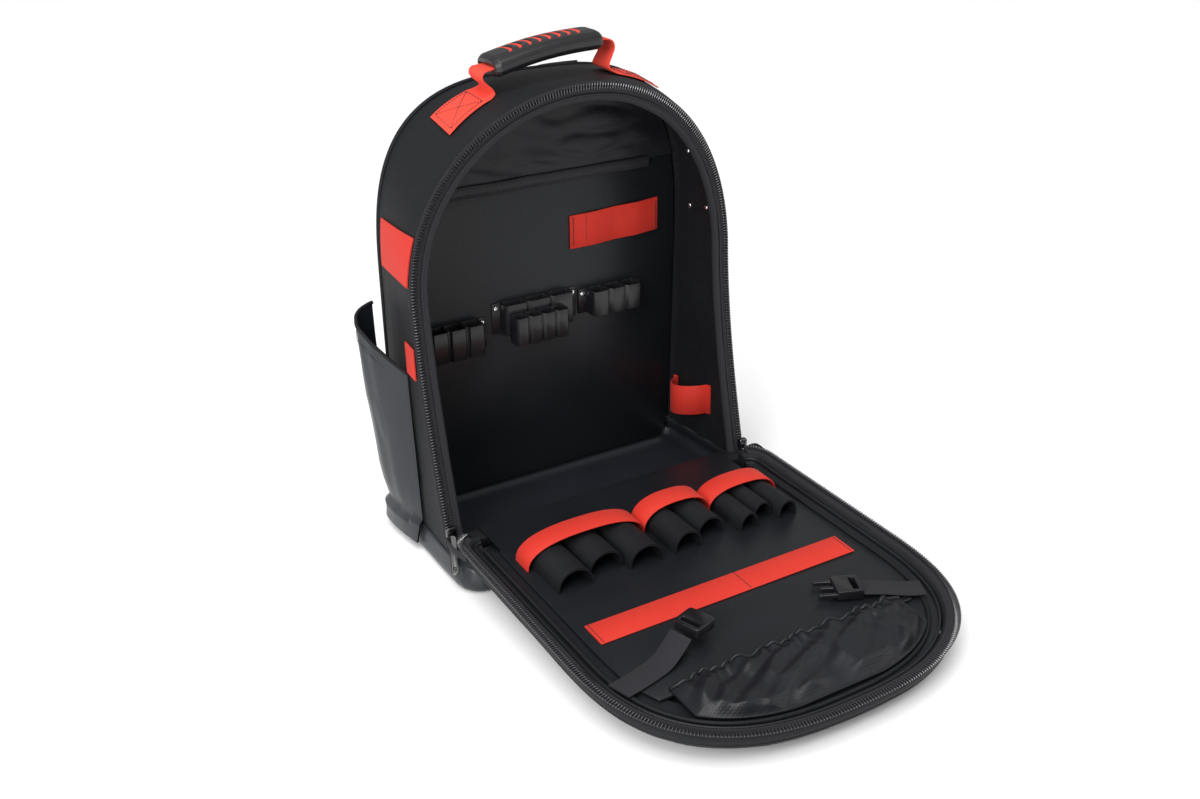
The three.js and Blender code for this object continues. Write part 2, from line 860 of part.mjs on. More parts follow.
function sleeves() {
  const pieces = [];
  for (const span of spanTable) {
    const width = (span.to - span.from - 2 * sleeve.clear) / span.sleeves;
    for (let k = 0; k < span.sleeves; k += 1) {
      const left = span.from + sleeve.clear + width * k + 0.5;
      const mouth = sleeve.mouth + (k % 2) * 10;
      pieces.push(sleeveSolid(left, left + width - 1, sleeve.rise * span.rise, mouth));
    }
  }
  return pieces;
}

function archedBand() {
  const path = [];
  const spanSteps = 8;
  for (const span of spanTable) {
    const middle = (span.from + span.to) / 2;
    const half = (span.to - span.from) / 2;
    for (let k = path.length ? 1 : 0; k <= spanSteps; k += 1) {
      const u = -Math.cos((k / spanSteps) * Math.PI);
      const rise = band.rise * span.rise * domeHeight(u, band.power);
      path.push(new THREE.Vector3(middle + half * u, band.y, boardTop(band.y) + gap + 0.4 + rise));
    }
  }
  const sections = path.map((point) => {
    const ends = [band.width / 2, -band.width / 2].map((offset) =>
      point.clone().setY(point.y + offset).setZ(point.z + door.slope * offset),
    );
    const high = ends.map((p) => p.clone().setZ(p.z + webbing));
    return [...ends, ...high.reverse()];
  });
  return loft(sections);
}

function flatTapeStrip() {
  const outline = oblong(0, flatTape.y, flatTape.half, flatTape.width / 2, 0.5, 1);
  return slab(
    outline,
    (x, y) => boardTop(y) + gap,
    (x, y) => boardTop(y) + gap + webbing,
  );
}

// The two straps over the board. Columns: place, and height over the board.
const strapTable = {
  left: [
    { x: -166, y: -283, up: 0.9 },
    { x: -145, y: -279, up: 0.8 },
    { x: -117, y: -272, up: 1.5 },
    { x: -100, y: -266, up: 8 },
    { x: -88, y: -262, up: 16 },
  ],
  right: [
    { x: 160, y: -302, up: 0.9 },
    { x: 145, y: -295, up: 0.9 },
    { x: 122, y: -283, up: 3 },
    { x: 106, y: -276, up: 4.5 },
  ],
};

function boardStrapRibbon(rows, across) {
  const path = rows.map((row) => new THREE.Vector3(row.x, row.y, boardTop(row.y) + row.up));
  return ribbon(path, across, boardStrap.width, webbing, Math.sign(path[1].x - path[0].x));
}

function buckleHalf(rows, clear, prongs) {
  const end = rows[rows.length - 1];
  const before = rows[rows.length - 2];
  const way = new THREE.Vector3(end.x - before.x, end.y - before.y, 0).normalize();
  const centre = new THREE.Vector3(end.x, end.y, boardTop(end.y) + end.up).add(
    way.clone().multiplyScalar(clear + buckle.length / 2),
  );
  const body = oblong(0, 0, buckle.length / 2, buckle.width / 2, 3, 2);
  const window = oblong(-buckle.length * 0.22, 0, 3, buckle.width / 2 - 4, 1, 1);
  const low = -buckle.thick / 2 + 2;
  let geometry = prism(body, [window], low, low + buckle.thick);
  if (prongs) {
    const arm = (y, reach, thick) =>
      prism(oblong(buckle.length / 2 + reach / 2 - 1, y, reach / 2 + 1, thick / 2, 1, 1), [], low + 2, low + 6);
    geometry = join([
      geometry,
      arm(-buckle.width / 2 + 3, 17, 4),
      arm(0, 13, 3),
      arm(buckle.width / 2 - 3, 17, 4),
    ]);
  }
  geometry.rotateZ(Math.atan2(way.y, way.x));
  geometry.translate(centre.x, centre.y, centre.z);
  return geometry;
}

// The gathered pocket: a slack sheet from its elastic hem to the ledge at the far end.
function gatheredPocket() {
  const loop = doorLoop(gathered.inset).map(([x, y]) => [x, y]);
  const far = Math.min(...loop.map(([, y]) => y)) + 2;
  const halfAt = (y) => {
    const left = loop.filter(([x]) => x <= 0);
    const beyond = left.findIndex(([, value], k) => k > steps.corner && value <= y);
    const [a, b] = [left[beyond - 1], left[beyond]];
    return Math.min(gathered.half, -(a[0] + ((b[0] - a[0]) * (y - a[1])) / (b[1] - a[1])));
  };
  const rows = [];
  const rowCount = 6;
  const across = 18;
  for (let i = 0; i <= rowCount; i += 1) {
    const y = gathered.hem + (far - gathered.hem) * (i / rowCount);
    const half = halfAt(y);
    const row = [];
    for (let k = 0; k <= across; k += 1) {
      const x = half * ((2 * k) / across - 1);
      const belly = gathered.belly * Math.sin((Math.PI * i) / rowCount);
      const fold = gathered.fold * Math.cos(k * 2.1 + i * 0.8) * (i > 0 ? 0.6 : 0.25);
      const sewn = k === 0 || k === across || i === rowCount;
      const drop = i > 1 ? ledgeTable[5].high - board.below : 0;
      const rise = sewn ? gap - drop : gathered.rise + belly + fold;
      row.push(new THREE.Vector3(x, y, boardTop(y) + fabric + rise));
    }
    rows.push(row);
  }
  return quilt(rows, new THREE.Vector3(0, 0, -fabric));
}

// Pieces on the tool board

// The holder blocks. Columns: the two sides, lower and upper edge, cells, and distance in front of the board.
const holderTable = {
  left: { from: -0.7527 * shell.half, to: -0.4194 * shell.half, low: 176, high: 210, cells: 3, depth: 20, off: 0, tab: 9 },
  middle: { from: -0.2796 * shell.half, to: 0.172 * shell.half, low: 188, high: 222, cells: 3, depth: 15.5, off: 0, tab: 9 },
  small: { from: -0.2581 * shell.half, to: 0.086 * shell.half, low: 181, high: 212, cells: 4, depth: 17, off: 15.5 + gap, tab: 0 },
  right: { from: 0.2903 * shell.half, to: 0.6237 * shell.half, low: 189, high: 217, cells: 3, depth: 20, off: 0, tab: 9 },
};

const holder = { wall: 1.6, back: 1.2, tabThick: 1.6, edge: 0.6, bevel: 3 };

const rivetHead = { radius: 3.2, rim: 0.6, shoulder: 1.5, height: 1.8, drop: 6 };

function holderBlock(row) {
  const front = toolBoard.face - gap - row.off;
  const width = (row.to - row.from) / row.cells;
  const low = front - row.depth;
  const outline = row.tab
    ? [
        [row.from - row.tab, front],
        [row.from - row.tab, front - holder.tabThick],
        [row.from, front - holder.tabThick],
      ]
    : [[row.from + holder.edge, front]];
  const holes = [];
  for (let k = 0; k < row.cells; k += 1) {
    const left = row.from + width * k;
    const right = left + width;
    const { edge, bevel } = holder;
    outline.push([left + edge, low + bevel], [left + bevel, low], [right - bevel, low], [right - edge, low + bevel]);
    holes.push(
      oblong(
        (left + right) / 2,
        (front - holder.back + low + holder.wall) / 2,
        width / 2 - holder.wall,
        (row.depth - holder.back - holder.wall) / 2,
        2,
        2,
      ),
    );
  }
  if (row.tab) {
    outline.push([row.to, front - holder.tabThick], [row.to + row.tab, front - holder.tabThick]);
    outline.push([row.to + row.tab, front]);
  } else {
    outline.push([row.to - holder.edge, front]);
  }
  const cells = holes.map((hole) => prism(hole, [], row.low - 1, row.high + 1));
  return cut(prism(outline, [], row.low, row.high), cells);
}

function rivet(x, z) {
  const { radius, rim, shoulder, height } = rivetHead;
  const profile = [
    [0, 0],
    [radius, 0],
    [radius, rim],
    [radius * 0.6, shoulder],
    [0, height],
  ].map(([r, h]) => new THREE.Vector2(r, h));
  const geometry = new THREE.LatheGeometry(profile, 8);
  geometry.rotateX(Math.PI);
  geometry.translate(x, toolBoard.face - gap - holder.tabThick - gap, z);
  return toGeometry(toSolid(geometry));
}

function boardElastic() {
  const path = [0, 0.25, 0.5, 0.75, 1].map((share, k) => {
    const x = elastic.from + (elastic.to - elastic.from) * share;
    const slack = elastic.slack * [0, 0.8, 0.2, 1, 0][k];
    return new THREE.Vector3(x, toolBoard.face - gap - 0.2 - slack, (elastic.low + elastic.high) / 2 + 3 * share);
  });
  return ribbon(path, new THREE.Vector3(0, 0, 1), elastic.high - elastic.low, webbing, 1);
}

// A red band inside a side wall, sewn at both ends and standing off between them.
function innerBand(side) {
  const { front, back, standOff, low, width } = wallBand;
  const path = [0, 0.1, 0.16, 0.35, 0.65, 0.84, 0.9, 1].map((share) => {
    const y = front + (back - front) * share;
    const z = low + width / 2 + 4 - 10 * share;
    const off = standOff * Math.max(Math.sin((Math.PI * (share - 0.1)) / 0.8), 0) ** 0.6;
    const wallHere = Math.min(insideAt(side, y, z - width / 2), insideAt(side, y, z + width / 2));
    return new THREE.Vector3(side * (wallHere - gap - webbing - off), y, z);
  });
  return ribbon(path, new THREE.Vector3(0, 0, 1), width, webbing, side);
}

function outerBand({ from, to, low, high }) {
  const rows = [0, 0.34, 0.67, 1].map((share) => {
    const y = from + (to - from) * share;
    return [0, 0.34, 0.67, 1].map((part) => {
      const z = low + (high - low) * part;
      return new THREE.Vector3(-(outsideAt(-1, y, z) + gap + 0.3), y, z);
    });
  });
  return quilt(rows, new THREE.Vector3(-webbing, 0, 0));
}

// The side pocket in plan. Columns: place along its girth from front seam to back seam, how far it stands
// off the wall at its mouth and at its foot, and the height of its mouth.
const pocketTable = [
  { share: 0, mouth: 0, foot: 0, top: 194 },
  { share: 0.12, mouth: 12, foot: 7, top: 206 },
  { share: 0.35, mouth: 29, foot: 18, top: 226 },
  { share: 0.6, mouth: 37, foot: 24, top: 239 },
  { share: 0.8, mouth: 33, foot: 24, top: 246 },
  { share: 0.92, mouth: 24, foot: 19, top: 249 },
  { share: 1, mouth: 11, foot: 6, top: 250 },
];

const pocketDrop = [
  { share: 0, stand: 0.2 },
  { share: 0.04, stand: 0.3 },
  { share: 0.09, stand: 0.47 },
  { share: 0.15, stand: 0.6 },
  { share: 0.22, stand: 0.72 },
  { share: 0.3, stand: 0.8 },
  { share: 0.65, stand: 0.97 },
  { share: 1, stand: 1 },
];

function sidePocketShell() {
  const { front, back, wall, foot } = sidePocket;
  const sections = pocketTable.map((row) => {
    const y = front + (back - front) * row.share + (1 - row.share) * 6;
    const rise = pocketDrop.map((drop) => {
      const z = foot + (row.top - foot) * drop.share;
      const stand = (row.foot + (row.mouth - row.foot) * drop.share) * drop.stand;
      const yHere = y - (1 - row.share) * 12 * (1 - drop.share);
      return new THREE.Vector3(-(outsideAt(-1, yHere, z) + gap + 0.6 + stand), yHere, z);
    });
    const outer = rise.map((p) => p.clone().setX(p.x - wall));
    return [...outer, ...rise.reverse()];
  });
  return loft(sections);
}

function sideLoopTab() {
  const { y, z, height, width, out } = sideLoop;
  const low = z - height / 2;
  const x = outsideAt(1, y, low) + gap + 0.5;
  const outline = oblong(x + out / 2, y, out / 2, width / 2, 1, 1);
  return prism(outline, [], low, low + height);
}

// The handle

// The webbing's curl between patch and grip. Columns: weights of its places, rise, and width as shares.
const curlTable = [
  { root: 0.5, inner: 0.5, outer: 0, grip: 0, up: 0.06, width: 0.95 },
  { root: 0, inner: 1, outer: 0, grip: 0, up: 0.2, width: 0.82 },
  { root: 0, inner: 0.85, outer: 0.15, grip: 0, up: 0.38, width: 0.72 },
  { root: 0, inner: 0.3, outer: 0.7, grip: 0, up: 0.58, width: 0.68 },
  { root: 0, inner: 0, outer: 1, grip: 0, up: 0.78, width: 0.7 },
  { root: 0, inner: 0, outer: 0.75, grip: 0.25, up: 0.95, width: 0.75 },
];

const gripHeight = (share) =>
  shell.height +
  handle.gripRiseLeft +
  (handle.gripRiseRight - handle.gripRiseLeft) * share +
  handle.bow * Math.sin(Math.PI * share);

// A station of the stitched patch: the webbing's two edges follow the crown.
function patchStation(x) {
  const shares = [0, 0.25, 0.5, 0.75, 1];
  const heights = shares.map((share) => crownAt(x, handle.y + handle.width * (share - 0.5)));
  const rise = heights[4] - heights[0];
  const bulge = Math.max(...heights.map((z, k) => z - heights[0] - rise * shares[k]));
  return { x, z: (heights[0] + heights[4]) / 2 + bulge + handle.lift, rise, width: handle.width };
}

// One half of the webbing from the patch's far end up to the grip. Columns: place, height, rise, width.
function webbingHalf(end, grip, height) {
  const stations = [];
  const patchSteps = 5;
  for (let k = 0; k <= patchSteps; k += 1) {
    stations.push(patchStation(end.root + end.side * handle.patch * (1 - k / patchSteps)));
  }
  const start = stations[patchSteps];
  for (const row of curlTable) {
    stations.push({
      x: end.root * row.root + end.inner * row.inner + end.outer * row.outer + grip * row.grip,
      z: start.z + (height - start.z) * row.up,
      rise: start.rise * (1 - row.up),
      width: handle.width * row.width,
    });
  }
  stations.push({ x: grip, z: height, rise: 0, width: handle.gripWebbing });
  return stations;
}

function handleWebbing() {
  const left = webbingHalf(handle.left, handle.gripLeft, gripHeight(0));
  const right = webbingHalf(handle.right, handle.gripRight, gripHeight(1));
  const middle = [0.25, 0.5, 0.75].map((share) => ({
    x: handle.gripLeft + (handle.gripRight - handle.gripLeft) * share,
    z: gripHeight(share),
    rise: 0,
    width: handle.gripWebbing,
  }));
  const stations = [...left, ...middle, ...right.reverse()];
  return loft(
    stations.map((row, i) => {
      const before = stations[Math.max(i - 1, 0)];
      const after = stations[Math.min(i + 1, stations.length - 1)];
      const up = new THREE.Vector3(before.z - after.z, 0, after.x - before.x).setLength(webbing);
      const front = new THREE.Vector3(row.x, handle.y - row.width / 2, row.z - row.rise / 2);
      const back = new THREE.Vector3(row.x, handle.y + row.width / 2, row.z + row.rise / 2);
      return [front, back, back.clone().add(up), front.clone().add(up)];
    }),
  );
}

function handleGrip() {
  const stations = [0, 0.04, 0.16, 0.3, 0.44, 0.58, 0.72, 0.86, 0.96, 1];
  const length = handle.gripRight - handle.gripLeft;
  const lean = Math.atan2(handle.gripRiseRight - handle.gripRiseLeft, length);
  const ring = (share, halfWide, halfThick, sides) => {
    const x = handle.gripLeft + length * share;
    const points = [];
    for (let k = 0; k < sides; k += 1) {
      const angle = ((k + 0.5) / sides) * Math.PI * 2;
      const wide = Math.sign(Math.cos(angle)) * Math.abs(Math.cos(angle)) ** 0.7;
      const tall = Math.sign(Math.sin(angle)) * Math.abs(Math.sin(angle)) ** 0.8;
      points.push(
        new THREE.Vector3(
          x - Math.sin(lean) * halfThick * tall,
          handle.y + halfWide * wide,
          gripHeight(share) + webbing / 2 + halfThick * tall,
        ),
      );
    }
    return points;
  };
  const body = loft(
    stations.map((share, i) => {
      const end = i === 0 || i === stations.length - 1 ? 0.82 : 1;
      return ring(share, (handle.gripWidth / 2) * end, (handle.gripThick / 2) * end, 16);
    }),
  );
  const clear = 0.5;
  const channelStations = [-0.02, 0.25, 0.5, 0.75, 1.02];
  const channel = loft(
    channelStations.map((share) => {
      const x = handle.gripLeft + length * share;
      const z = gripHeight(Math.min(Math.max(share, 0), 1));
      const half = handle.gripWebbing / 2 + 2 * clear;
      const low = z - clear - 0.6;
      const high = z + webbing + clear + 0.6;
      return [
        new THREE.Vector3(x, handle.y - half, low),
        new THREE.Vector3(x, handle.y + half, low),
        new THREE.Vector3(x, handle.y + half, high),
        new THREE.Vector3(x, handle.y - half, high),
      ];
    }),
  );
  const slots = [];
  for (let k = 0; k < handle.slots; k += 1) {
    const share = 0.14 + (0.72 * (k + 0.5)) / handle.slots;
    const x = handle.gripLeft + length * share;
    const outline = [];
    const half = handle.slotLength / 2;
    for (let n = 0; n <= 4; n += 1) {
      const v = -1 + n / 2;
      outline.push([x - 3 * v * v, handle.y + half * v]);
    }
    for (let n = 3; n >= 1; n -= 1) {
      const v = -1 + n / 2;
      outline.push([x + handle.slotWidth - (3 + handle.slotWidth) * v * v, handle.y + half * v]);
    }
    const low = gripHeight(share) + webbing / 2;
    slots.push(prism(outline, [], low, low + handle.gripThick));
  }
  return cut(body, [channel, ...slots]);
}

// Harness at the back

function padSolid(outline, front, thick) {
  const centreU = outline.reduce((sum, [u]) => sum + u, 0) / outline.length;
  const centreV = outline.reduce((sum, [, v]) => sum + v, 0) / outline.length;
  const ring = (shrink, y) =>
    outline.map(([x, z]) => {
      const reach = Math.hypot(x - centreU, z - centreV);
      const scale = (reach - shrink) / reach;
      return new THREE.Vector3(centreU + (x - centreU) * scale, centreV + (z - centreV) * scale, y);
    });
  return vessel(
    [ring(3, front), ring(0, front + thick * 0.35), ring(1.5, front + thick * 0.75), ring(9, front + thick)],
    (p) => new THREE.Vector3(p.x, p.z, p.y),
  );
}

const backFace = shell.depth + gap;

function backPad() {
  const middle = (harness.padFoot + harness.padTop) / 2;
  const half = (harness.padTop - harness.padFoot) / 2;
  return padSolid(oblong(0, middle, harness.padHalf, half, 40, 4), backFace, harness.pad);
}

function yoke() {
  const middle = (harness.yokeFoot + harness.yokeTop) / 2;
  const half = (harness.yokeTop - harness.yokeFoot) / 2;
  return padSolid(oblong(0, middle, harness.yokeHalf, half, 10, 2), backFace, harness.yoke);
}

// The path of a shoulder strap's middle. Columns: share of its length, spread, and stand-off.
const strapShares = [
  { share: 0, spread: 0, off: 0 },
  { share: 0.12, spread: 0.03, off: 0 },
  { share: 0.22, spread: 0.12, off: 0.5 },
  { share: 0.34, spread: 0.3, off: 0.9 },
  { share: 0.52, spread: 0.58, off: 1 },
  { share: 0.78, spread: 0.9, off: 0.8 },
  { share: 1, spread: 1, off: 0.25 },
];

function shoulderStrap(side) {
  const start = side < 0 ? harness.topLeft : harness.topRight;
  const face = backFace + harness.yoke + gap;
  const sections = strapShares.map((row) => {
    const x = side * (harness.strapTop + (harness.strapSpread - harness.strapTop) * row.spread);
    const z = start - (start - harness.strapEnd) * row.share;
    const y = face + harness.bow * row.off;
    const half = (harness.strapWidth / 2) * (row.share === 0 || row.share === 1 ? 0.85 : 1);
    const thick = harness.strapThick * (row.share === 0 || row.share === 1 ? 0.6 : 1);
    return [
      [-half, 0.3],
      [-half + 4, 0],
      [half - 4, 0],
      [half, 0.3],
      [half, 0.7],
      [half - 6, 1],
      [-half + 6, 1],
      [-half, 0.7],
    ].map(([u, w]) => new THREE.Vector3(x + u, y + thick * w, z));
  });
  return loft(sections);
}

function lowerWebbing(side) {
  const face = backFace + harness.pad;
  const top = new THREE.Vector3(side * harness.strapSpread, face + harness.bow * 0.25 + 1, harness.strapEnd - gap);
  const foot = new THREE.Vector3(side * harness.webSpread, backFace, harness.webFoot);
  const between = (share, y, z) =>
    new THREE.Vector3(side * (harness.strapSpread + (harness.webSpread - harness.strapSpread) * share), y, z);
  const path = smoothPath(
    [
      top,
      between(0.35, face + 6, harness.strapEnd - 50),
      between(0.75, face + 3, harness.padFoot + 20),
      between(0.92, face + 1, harness.padFoot),
      foot,
    ],
    10,
  );
  return ribbon(path, new THREE.Vector3(1, 0, 0), harness.web, webbing, -1);
}

// Sliders and pulls

const coilFront = gap + zip.thick + zip.coilRise;

function sliderPlace(side) {
  const edge = bagLoop(0, 2.2 + zip.coil / 2);
  return edge[side < 0 ? tapeStart : loopCount - 1 - tapeStart];
}

function slider(side) {
  const at = sliderPlace(side);
  const geometry = prism(oblong(0, 0, 5, zip.slider / 2, 2, 2), [], 0, zip.sliderThick);
  geometry.rotateX(Math.PI / 2);
  geometry.translate(at.x, at.y - coilFront - gap, at.z + 1);
  return geometry;
}

// Each pull hangs from its slider past the boot's corner.
function pull(side) {
  const half = zip.pullWidth / 2;
  const place = ({ x, y, z }) => new THREE.Vector3(skewed(side * x, 1), y, z);
  const top = place(pullPlace.top);
  const tip = place(pullPlace.tip);
  const up = top.clone().sub(tip).normalize();
  const wide = new THREE.Vector3(-side * 0.8, -0.6, 0);
  const out = wide.clone().cross(up).normalize();
  wide.crossVectors(up, out);
  const geometry = prism(
    oblong(0, -zip.pull / 2, half, zip.pull / 2, half - 0.5, 3),
    [oblong(0, -zip.pull + 6, 1.8, 2.2, 1.5, 2)],
    -zip.pullThick / 2,
    zip.pullThick / 2,
  );
  geometry.applyMatrix4(new THREE.Matrix4().makeBasis(wide, up, out).setPosition(top));
  return geometry;
}

// The assembly

const assembly = new THREE.Group();

function add(name, geometry, finish) {
  const mesh = new THREE.Mesh(geometry, new THREE.MeshStandardMaterial(finishes[finish]));
  mesh.name = name;
  assembly.add(mesh);
}

add("base_boot", baseBoot(), "coated");
add("shell_gusset", shellGusset(), "fabric");
add("back_panel", backPanel(), "fabric");
add("front_lip", frontLip(), "fabric");
add("hinge_flap", hingeFlap(), "fabric");
add("shell_zip_tape", shellZipTape(), "webbingBlack");
add("shell_binding", shellBinding(), "fabric");
add("top_lining", topLining(), "nylon");
add("lining_hem", liningHem(), "webbingBlack");
add("tool_board", toolBoardPlate(), "coated");
add("board_elastic", boardElastic(), "webbingRed");

for (const [name, row] of Object.entries(holderTable)) {
  add(`holder_${name}`, holderBlock(row), "plastic");
}
for (const name of ["left", "middle", "right"]) {
  const row = holderTable[name];
  const z = row.high - rivetHead.drop;
  add(`rivet_${name}_a`, rivet(row.from - row.tab / 2, z), "metal");
  add(`rivet_${name}_b`, rivet(row.to + row.tab / 2, z), "metal");
}

add("wall_band_left", innerBand(-1), "webbingRed");
add("wall_band_right", innerBand(1), "webbingRed");
add("side_band_upper", outerBand(sideBand.upper), "webbingRed");
add("side_band_lower", outerBand(sideBand.lower), "webbingRed");
add("side_pocket", sidePocketShell(), "fabric");
add("side_loop", sideLoopTab(), "webbingRed");

add("handle_webbing", handleWebbing(), "webbingRed");
add("handle_grip", handleGrip(), "plastic");

add("back_pad", backPad(), "fabric");
add("yoke", yoke(), "fabric");
for (const [name, side] of [
  ["left", -1],
  ["right", 1],
]) {
  add(`shoulder_strap_${name}`, shoulderStrap(side), "fabric");
  add(`lower_webbing_${name}`, lowerWebbing(side), "webbingBlack");
  add(`zip_slider_${name}`, slider(side), "plastic");
  add(`zip_pull_${name}`, pull(side), "plastic");
}

add("door_rim", doorRim(), "fabric");
add("door_zip_tape", doorZipTape(), "webbingBlack");
add("door_panel", doorPanel(), "fabric");
add("door_outer_pocket", doorOuterPocket(), "fabric");
add("door_ledge", doorLedge(), "fabric");
add("door_board", doorBoard(), "coated");
sleeves().forEach((geometry, k) => add(`sleeve_${k + 1}`, geometry, "fabric"));
add("arched_band", archedBand(), "webbingRed");
add("flat_tape", flatTapeStrip(), "webbingRed");
add("board_strap_left", boardStrapRibbon(strapTable.left, new THREE.Vector3(0.15, 1, door.slope)), "webbingBlack");
add("board_strap_right", boardStrapRibbon(strapTable.right, new THREE.Vector3(0.45, 1, door.slope)), "webbingBlack");
add("buckle_socket", buckleHalf(strapTable.left, buckle.clearRaised, false), "plastic");
add("buckle_plug", buckleHalf(strapTable.right, buckle.clear, true), "plastic");
add("gathered_pocket", gatheredPocket(), "nylon");

// The origin is the middle of the whole part's foot.
const bounds = new THREE.Box3().setFromObject(assembly);
const middle = bounds.getCenter(new THREE.Vector3());
assembly.position.set(-middle.x, -middle.y, -bounds.min.z);

const backpack = new THREE.Group();
backpack.add(assembly);

export default backpack;
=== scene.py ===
"""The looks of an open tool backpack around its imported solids.

Every shape is given in millimetres in the maker's own frame: x to the viewer's right, y away from the
viewer with zero at the foot of the opening's front edge, and z up from the floor. The bench moves it into
the frame's metres.
"""

import json
import logging
import math
from dataclasses import dataclass, field
from enum import Enum
from typing import Callable, Iterable, Optional, Sequence

import bmesh
import bpy
from mathutils import Matrix, Vector, noise

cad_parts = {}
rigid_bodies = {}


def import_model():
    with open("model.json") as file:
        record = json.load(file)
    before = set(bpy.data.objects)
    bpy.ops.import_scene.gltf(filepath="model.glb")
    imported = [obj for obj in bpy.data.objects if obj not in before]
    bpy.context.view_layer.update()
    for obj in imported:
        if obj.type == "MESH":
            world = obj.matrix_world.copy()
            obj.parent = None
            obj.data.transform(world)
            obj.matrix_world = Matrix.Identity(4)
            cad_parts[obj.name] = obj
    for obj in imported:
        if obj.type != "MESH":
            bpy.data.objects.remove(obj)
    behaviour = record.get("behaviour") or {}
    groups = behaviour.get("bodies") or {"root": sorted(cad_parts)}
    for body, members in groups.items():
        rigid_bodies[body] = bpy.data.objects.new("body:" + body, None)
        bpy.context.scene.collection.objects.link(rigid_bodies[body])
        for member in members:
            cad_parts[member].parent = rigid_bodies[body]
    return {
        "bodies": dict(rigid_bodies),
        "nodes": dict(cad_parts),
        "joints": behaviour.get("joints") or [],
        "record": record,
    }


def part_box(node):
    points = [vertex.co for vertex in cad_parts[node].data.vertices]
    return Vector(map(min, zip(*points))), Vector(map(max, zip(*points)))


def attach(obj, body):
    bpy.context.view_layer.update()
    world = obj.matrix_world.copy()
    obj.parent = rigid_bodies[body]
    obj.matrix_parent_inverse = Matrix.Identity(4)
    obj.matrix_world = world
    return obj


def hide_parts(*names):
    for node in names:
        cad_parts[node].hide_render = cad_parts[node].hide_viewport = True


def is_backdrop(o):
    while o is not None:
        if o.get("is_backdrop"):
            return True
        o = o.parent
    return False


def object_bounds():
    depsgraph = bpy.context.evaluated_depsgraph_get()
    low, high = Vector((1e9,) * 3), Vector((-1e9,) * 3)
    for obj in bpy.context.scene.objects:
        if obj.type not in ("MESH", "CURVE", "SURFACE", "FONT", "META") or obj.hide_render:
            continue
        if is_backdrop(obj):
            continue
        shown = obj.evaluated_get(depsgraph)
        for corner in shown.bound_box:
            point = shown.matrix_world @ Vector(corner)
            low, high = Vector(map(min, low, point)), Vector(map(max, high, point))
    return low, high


MM = 0.001
GAP = 0.3
UP = Vector((0, 0, 1))
TO_VIEWER = Vector((0, -1, 0))
TO_LEFT = Vector((-1, 0, 0))
log = logging.getLogger("tool_backpack")

Rows = list[list[Vector]]
Pairs = list[tuple[float, float]]


def across(lines: Sequence[Sequence[Vector]]) -> Rows:
    """Turns lines that run along a piece into the sections across it.

    Args:
        lines: The lines, in order round the section.

    Returns:
        One section for each place along the lines.
    """
    return [list(section) for section in zip(*lines)]


class Side(Enum):
    """The two sides of the bag as the viewer sees them."""

    LEFT = -1
    RIGHT = 1

    @property
    def word(self) -> str:
        """The side's name as the frame's nodes spell it."""
        return self.name.lower()


# Shapes that several pieces share


def mix(a: float, b: float, share: float) -> float:
    """Mixes two numbers.

    Args:
        a: The number at share 0.
        b: The number at share 1.
        share: How far the wanted number lies from a to b.

    Returns:
        The number between them.
    """
    return a + (b - a) * share


def table_at(rows: Sequence[Sequence[float]], share: float, column: int) -> float:
    """Reads a table of numbers between its rows.

    Args:
        rows: The rows, with the share in column 0, in rising order.
        share: Where to read.
        column: Which column to read.

    Returns:
        The column's number there, on straight lines between the rows.
    """
    for low, high in zip(rows, rows[1:]):
        if share <= high[0]:
            part = (share - low[0]) / (high[0] - low[0])
            return mix(low[column], high[column], part)
    return rows[-1][column]


def smooth_path(points: Sequence[Vector], count: int) -> list[Vector]:
    """A smooth line through a few points.

    Args:
        points: The points that it passes.
        count: How many steps lie between two of them.

    Returns:
        The line's points, both ends included.
    """
    ends = [points[0] * 2 - points[1], *points, points[-1] * 2 - points[-2]]
    path = []
    for k in range(1, len(ends) - 2):
        a, b, c, d = ends[k - 1 : k + 3]
        for step in range(count):
            t = step / count
            bend = (2 * a - 5 * b + 4 * c - d) * t**2
            path.append(0.5 * (2 * b + (c - a) * t + bend + (3 * b - a - 3 * c + d) * t**3))
    return [*path, points[-1].copy()]


def spread(path: Sequence[Vector], pitch: float) -> list[tuple[Vector, Vector]]:
    """Places at equal distances along a line.

    Args:
        path: The line.
        pitch: The distance that is wanted between two places.

    Returns:
        Pairs of place and direction.
    """
    total = sum((b - a).length for a, b in zip(path, path[1:]))
    count = max(int(total / pitch), 1)
    step = total / count
    places, gone, want = [], 0.0, step / 2
    for a, b in zip(path, path[1:]):
        length = (b - a).length
        while length > 0 and want <= gone + length:
            places.append((a.lerp(b, (want - gone) / length), (b - a).normalized()))
            want += step
        gone += length
    return places


